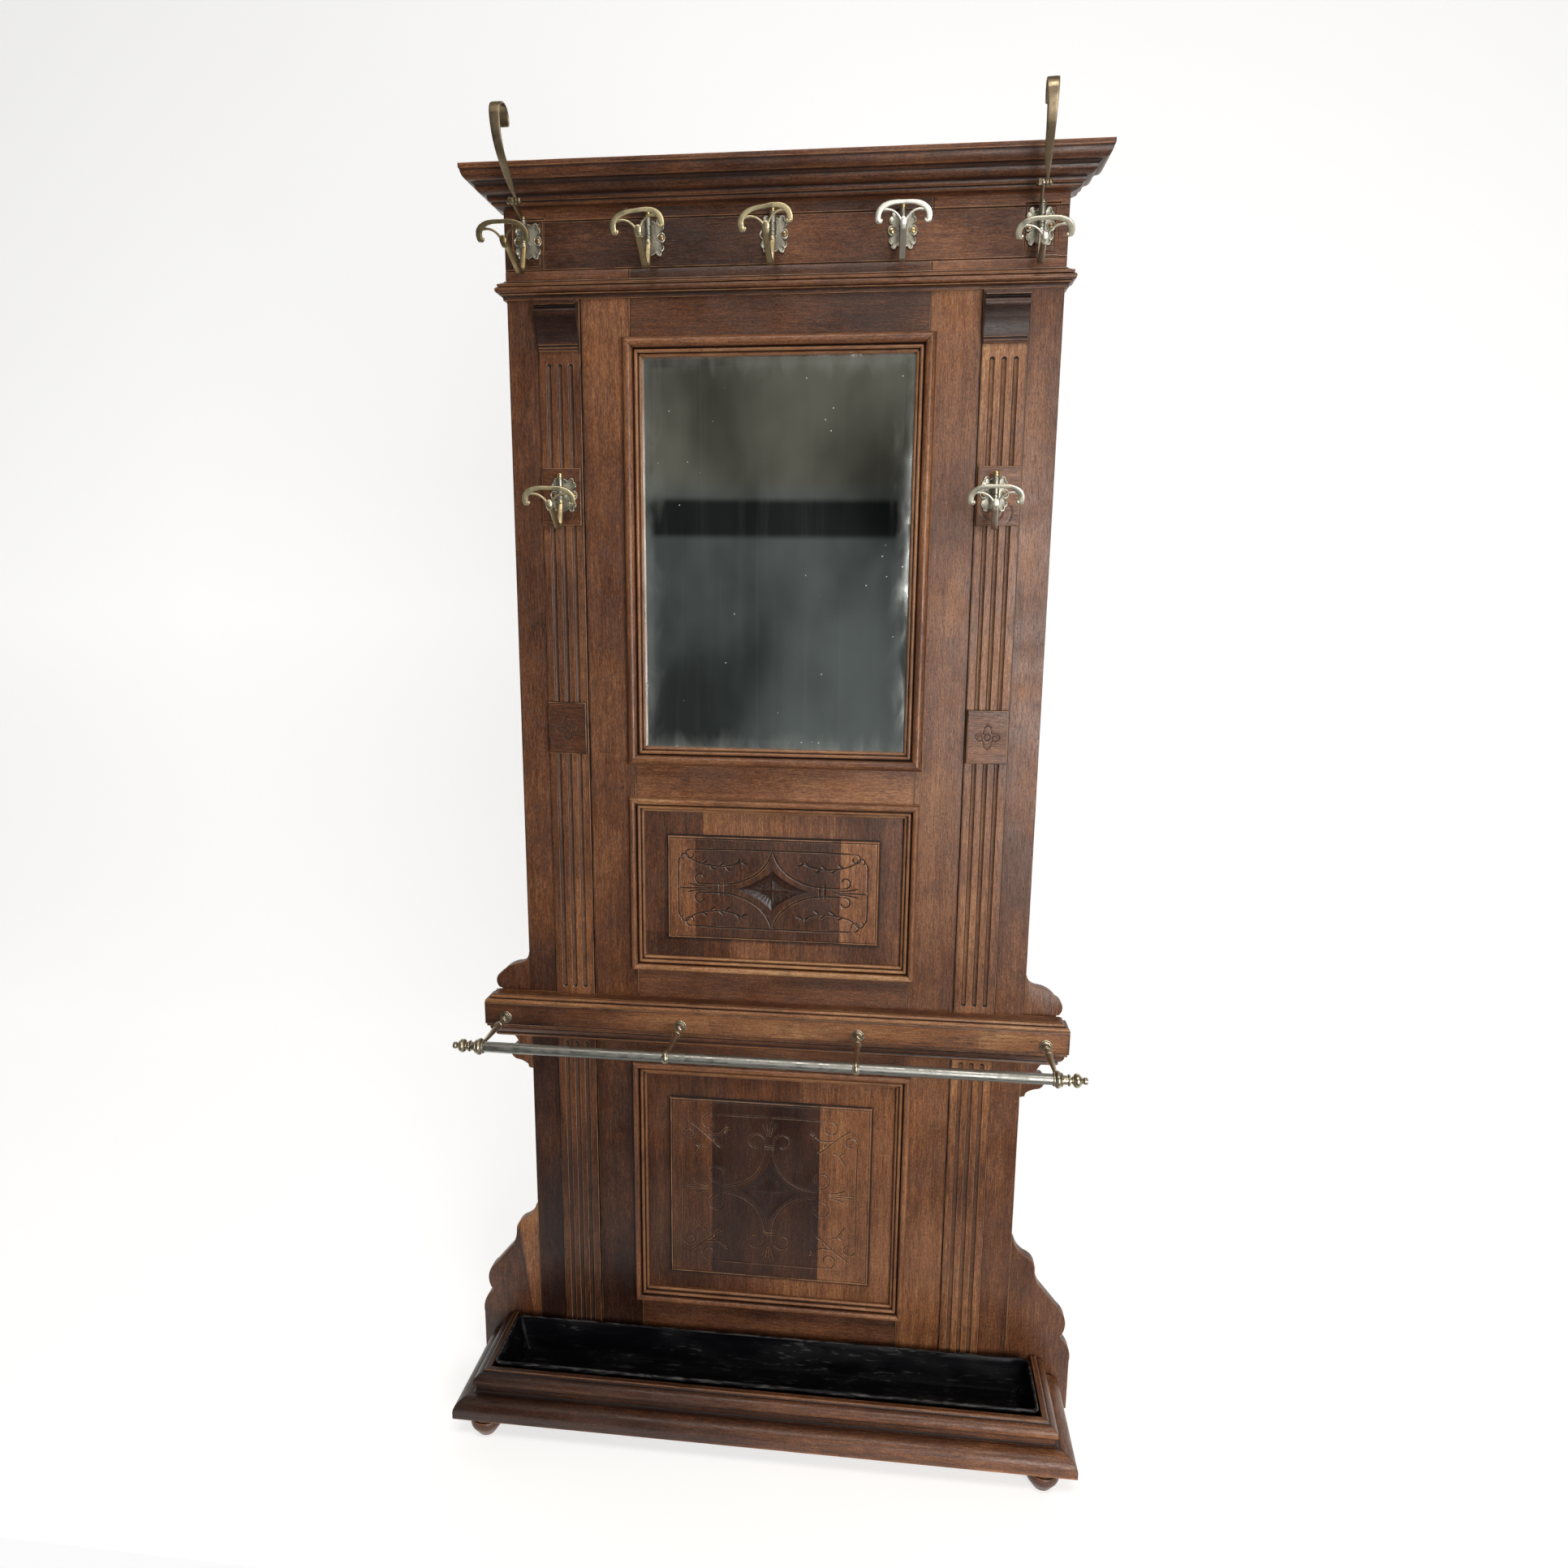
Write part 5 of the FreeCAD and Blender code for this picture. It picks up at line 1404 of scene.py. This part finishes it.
def eye_ring(shells, place, across, tone):
    centre = place.at(across, *KNUCKLE, False)
    loop = [(-2.4, 2.75), (-2.4, 5.8), (-1.8, 6.4), (1.8, 6.4), (2.4, 5.8), (2.4, 2.75)]
    turned(shells, centre, place.across(), loop, 36, tone, soft=0.5, ring=True)


def hat_bolt(number, place):
    """Round-headed bolt with a square nut, through both eyes."""
    shells = Shells()
    centre = place.at(0, *KNUCKLE, False)
    shank = [(-9.9, 2.3), (5.4, 2.45), (5.5, 4.4), (6, 5.0), (8.4, 5.0), (9.6, 4.3),
             (10.6, 3, 11.2, 1.4), (11.3, 0.4)]
    turned(shells, centre, place.across(), shank, 32, soft=0.4)
    nut = [centre + place.across() * a for a in (-9.9, -9.4, -8, -6.8, -5.6, -5.3)]
    half = along([4.2, 4.9, 4.9, 4.9, 4.9, 4.6])
    swept(shells, nut, half, half, UPWARDS, 7.0, 28)
    name = "hat_bolt_%d" % number
    shells.piece("bolt_" + name, "hook_%d" % number, [name], "bronze_strap")


def hat_arm(number, place):
    """Long flat strap that widens upwards and curls back at its top."""
    shells = Shells()
    path = strap_path(KNUCKLE, 39.3, [(66.0,), (70.0, 50.7), (20.0, 190.0)], 2.2)[1:]
    left = np.interp(path[:, 1], [50, 57, 70, 168], [0.25, -2.6, -5.3, -9.3])
    right = np.interp(path[:, 1], [52.5, 66, 168], [5.05, 6.4, 9.3])
    line = [place.at((a + b) / 2, out, up, False) for (out, up), a, b in zip(path, left, right)]
    half = (right - left) / 2
    swept(shells, line, lambda t: float(np.interp(t, np.linspace(0, 1, len(half)), half)),
          along([2.3, 1.9, 1.6, 1.5, 1.5, 1.5, 1.4]), place.across(), 4.0, 32)
    eye_ring(shells, place, 2.65, 0.5)
    name = "hat_arm_%d" % number
    shells.piece("strap_" + name, "hat_arm_body_%d" % number, [name], "bronze_strap")


def plate_outline():
    """Scalloped edge of a hook plate, as (across, up) points."""
    hw, hh = 23.5, 28.0
    right = outline((0, hh), [(9, hh - 5), (13, hh + 0.5, 17.5, hh - 6), (22, hh - 13, 17, 9),
                              (hw + 0.6, 0, 17, -9), (22, -hh + 13, 17.5, -hh + 6),
                              (13, -hh - 0.5, 9, -hh + 5), (0, -hh)], 0.9)
    points = soften(right + [p * [-1, 1] for p in right[-2:0:-1]], 1.4, least=20)
    return np.array(points) * 0.985


def hook_plates():
    """Scalloped plates with a raised lip, two screw bosses and a ribbed barrel."""
    edge = plate_outline()
    rings = [(1.0, 0.0), (1.0, 1.4), (0.985, 2.1), (0.955, 2.45), (0.915, 2.4), (0.885, 1.8),
             (0.85, 1.45), (0.6, 1.5), (0.3, 1.7), (0.05, 1.75)]
    barrel = [(-8, 3.2), (-8, 4.8), (-7.4, 5.5), (-3.4, 5.5), (-2.8, 5.0), (-2.0, 5.0),
              (-1.4, 5.5), (9, 5.4), (9.6, 4.9), (10.4, 4.9), (11, 5.5), (23.4, 5.5), (24.2, 5.0),
              (25.2, 5.2), (26, 4.7), (26, 3.2)]
    boss = [(0.6, 4.8), (0.9, 7.4), (1.8, 7.2), (2.5, 6.5), (2.6, 5.9), (2.2, 5.2), (1.6, 4.8)]
    shells = Shells()
    screws = Shells()
    for number in HANG:
        x, wall, z = Place(number).plate
        rows = [np.column_stack([x + edge[:, 0] * share, np.full(len(edge), wall - rise),
                                 z + edge[:, 1] * share]) for share, rise in rings]
        shells.add(np.concatenate(rows), capped_faces(len(rows), len(edge)))
        axis = (x, wall - AXIS_OUT, z)
        turned(shells, axis, UPWARDS, barrel, 32, soft=0.35, ring=True)
        web = [(x, wall - 1.5, z + 7), (x, wall - 8, z + 7), (x, wall - 14.2, z + 7)]
        swept(shells, web, along([4.6, 3.4, 3.3]), along([12.5, 12, 11.5]), (1, 0, 0), 6.0, 28)
        for side in (-1, 1):
            spot = (x + side * 16.5, wall, z)
            turned(shells, spot, OUTWARDS, boss, 32, soft=0.3, ring=True)
            slotted_screw(screws, (spot[0], wall - 1.6, z), 23 * number + 61 * side,
                          0.8 if number == 4 else 0.25)
    shells.piece("cast_hook_plates", "stand", ["hook_plates"], "plate_metal")
    screws.piece("slotted_screws", "stand", ["plate_screws"], "screw_brass")


def slotted_screw(shells, centre, angle, tone):
    """Round-headed screw. Its slot is turned by the angle, in degrees."""
    head = 4.35
    radii = np.concatenate([[0.05], np.arange(0.35, 4.1, 0.3), [4.25, head]])
    count = 56
    around = np.linspace(0, 2 * math.pi, count, endpoint=False)
    turn = math.radians(angle)
    rows = [np.column_stack([centre[0] + head * np.cos(around), np.full(count, centre[1] + 0.8),
                             centre[2] + head * np.sin(around)])]
    for r in radii[::-1]:
        crown = 2.2 * math.sqrt(max(0.0, 1 - (r / 4.9) ** 2)) - 0.4
        slot = 0.9 * np.clip((0.75 - np.abs(r * np.sin(around - turn))) / 0.22, 0, 1)
        rows.append(np.column_stack([centre[0] + r * np.cos(around), centre[1] - crown + slot,
                                     centre[2] + r * np.sin(around)]))
    shells.add(np.concatenate(rows), capped_faces(len(rows), count), "x", tone)


# ---- Stage, lights and camera --------------------------------------------------------
def backdrop():
    """Pale floor that sweeps up behind the object."""
    front, back, bend, top = -0.40, 1.6, 1.4, 6.0
    profile = [(front, 0), (back, 0)]
    for angle in np.linspace(0.05, math.pi / 2, 20):
        profile.append((back + bend * math.sin(angle), bend - bend * math.cos(angle)))
    profile.append((back + bend, top))
    points = [(x, y, z) for y, z in profile for x in (-7, 7)]
    mesh = bpy.data.meshes.new("floor")
    mesh.from_pydata(points, [], grid_faces(len(profile), 2))
    mesh.shade_smooth()
    n = new_material("pale_floor")
    grain = n.noise(n.add("TexCoord", out=3), 3.0)
    tone = n.mix(grain, (0.60, 0.60, 0.596, 1), (0.62, 0.62, 0.616, 1))
    mesh.materials.append(n.finish(Base_Color=tone, Roughness=0.9, Emission_Color=(1, 1, 1, 1),
                                   Emission_Strength=0.62))
    floor = bpy.data.objects.new("floor", mesh)
    bpy.context.scene.collection.objects.link(floor)


def area_light(name, place, target, size, power, colour=(1, 1, 1)):
    light = bpy.data.lights.new(name, "AREA")
    light.shape = "RECTANGLE"
    light.size, light.size_y = size
    light.energy = power
    light.color = colour
    obj = bpy.data.objects.new(name, light)
    obj.location = place
    obj.rotation_euler = (Vector(target) - Vector(place)).to_track_quat("-Z", "Y").to_euler()
    bpy.context.scene.collection.objects.link(obj)


def surroundings():
    """White to the camera. To everything else a dim room: a shelf before a paler wall,
    and soft light overhead and at the sides."""
    world = bpy.data.worlds.new("studio")
    bpy.context.scene.world = world
    n = Nodes(world)
    direction = n.add("TexCoord")
    parts = n.tree.nodes.new("ShaderNodeSeparateXYZ")
    n.put(parts, 0, direction)
    height = parts.outputs["Z"]
    overhead = n.range(height, 0.42, 0.9, 0.0, 0.14)
    sides = n.range(n.math("ABSOLUTE", parts.outputs["X"]), 0.5, 0.95, 0.0, 0.09)
    cloud = n.noise(n.stretched(direction, 5.0, 5.0, 3.2), 1.0, 4.0)
    far_wall = n.range(height, 0.075, 0.095, 0.085, 0.10)
    shelf = n.times(n.range(height, 0.045, 0.052), n.range(height, 0.085, 0.078))
    far_wall = n.times(far_wall, n.minus(1.0, n.times(shelf, 0.8)))
    far_wall = n.times(far_wall, n.range(cloud, 0.35, 0.65, 0.35, 1.5))
    far_wall = n.times(far_wall, n.range(height, 0.34, 0.24, 0.12, 1.0))
    light = n.plus(far_wall, n.plus(overhead, sides))
    tint = n.mix(n.range(height, 0.07, 0.11), (0.90, 1.0, 0.98, 1), (1.0, 0.93, 0.76, 1))
    room = n.mix(light, (0, 0, 0, 1), tint)
    seen = n.add("LightPath")
    n.put(n.tree.nodes["Background"], "Color", n.mix(seen, room, (0.97, 0.97, 0.97, 1)))


def lights():
    area_light("window", (1.75, -3.7, 1.25), (0.1, 0.0, 1.2), (1.8, 2.3), 165, (1.0, 0.985, 0.97))
    area_light("overhead", (0.2, -1.9, 4.3), (0.0, 0.0, 0.9), (2.4, 1.2), 62, (1.0, 0.96, 0.91))


def camera():
    data = bpy.data.cameras.new("camera")
    data.sensor_width = 36
    data.lens = 24.17
    data.shift_x = 0.0155
    data.shift_y = 0.0005
    obj = bpy.data.objects.new("camera", data)
    obj.location = (0.1809, -1.7087, 1.5187)
    obj.rotation_euler = [math.radians(a) for a in (79.544, -0.418, 6.558)]
    bpy.context.scene.collection.objects.link(obj)
    bpy.context.scene.camera = obj


# ---- Build ---------------------------------------------------------------------------
def build():
    framework()
    for name in ("upper_pilaster", "lower_pilaster"):
        for side in ("left", "right"):
            pilaster(name, side)
    pilaster_blocks()
    corbels()
    # The bottom lengths of the panel mouldings are painted paler, as light from above, and the left
    # lengths darker than the right ones, as painted shade.
    opening_moulding("lower_panel_moulding", 25.0, (0.36, 0.34, 0.28, 0.42))
    opening_moulding("middle_panel_moulding", 25.0, (0.60, 0.46, 0.32, 0.42))
    opening_moulding("mirror_moulding", 31.0, (0.44, 0.46, 0.42, 0.46))
    frieze()
    cornice_and_astragal()
    beam()
    plinth()
    side_boards()
    panels()
    mirror()
    backboard()
    feet()
    tray()
    umbrella_rail()
    for number in HANG:
        hook(number)
    hook_plates()


build()
backdrop()
surroundings()
lights()
camera()
bpy.context.scene.view_settings.view_transform = "Standard"
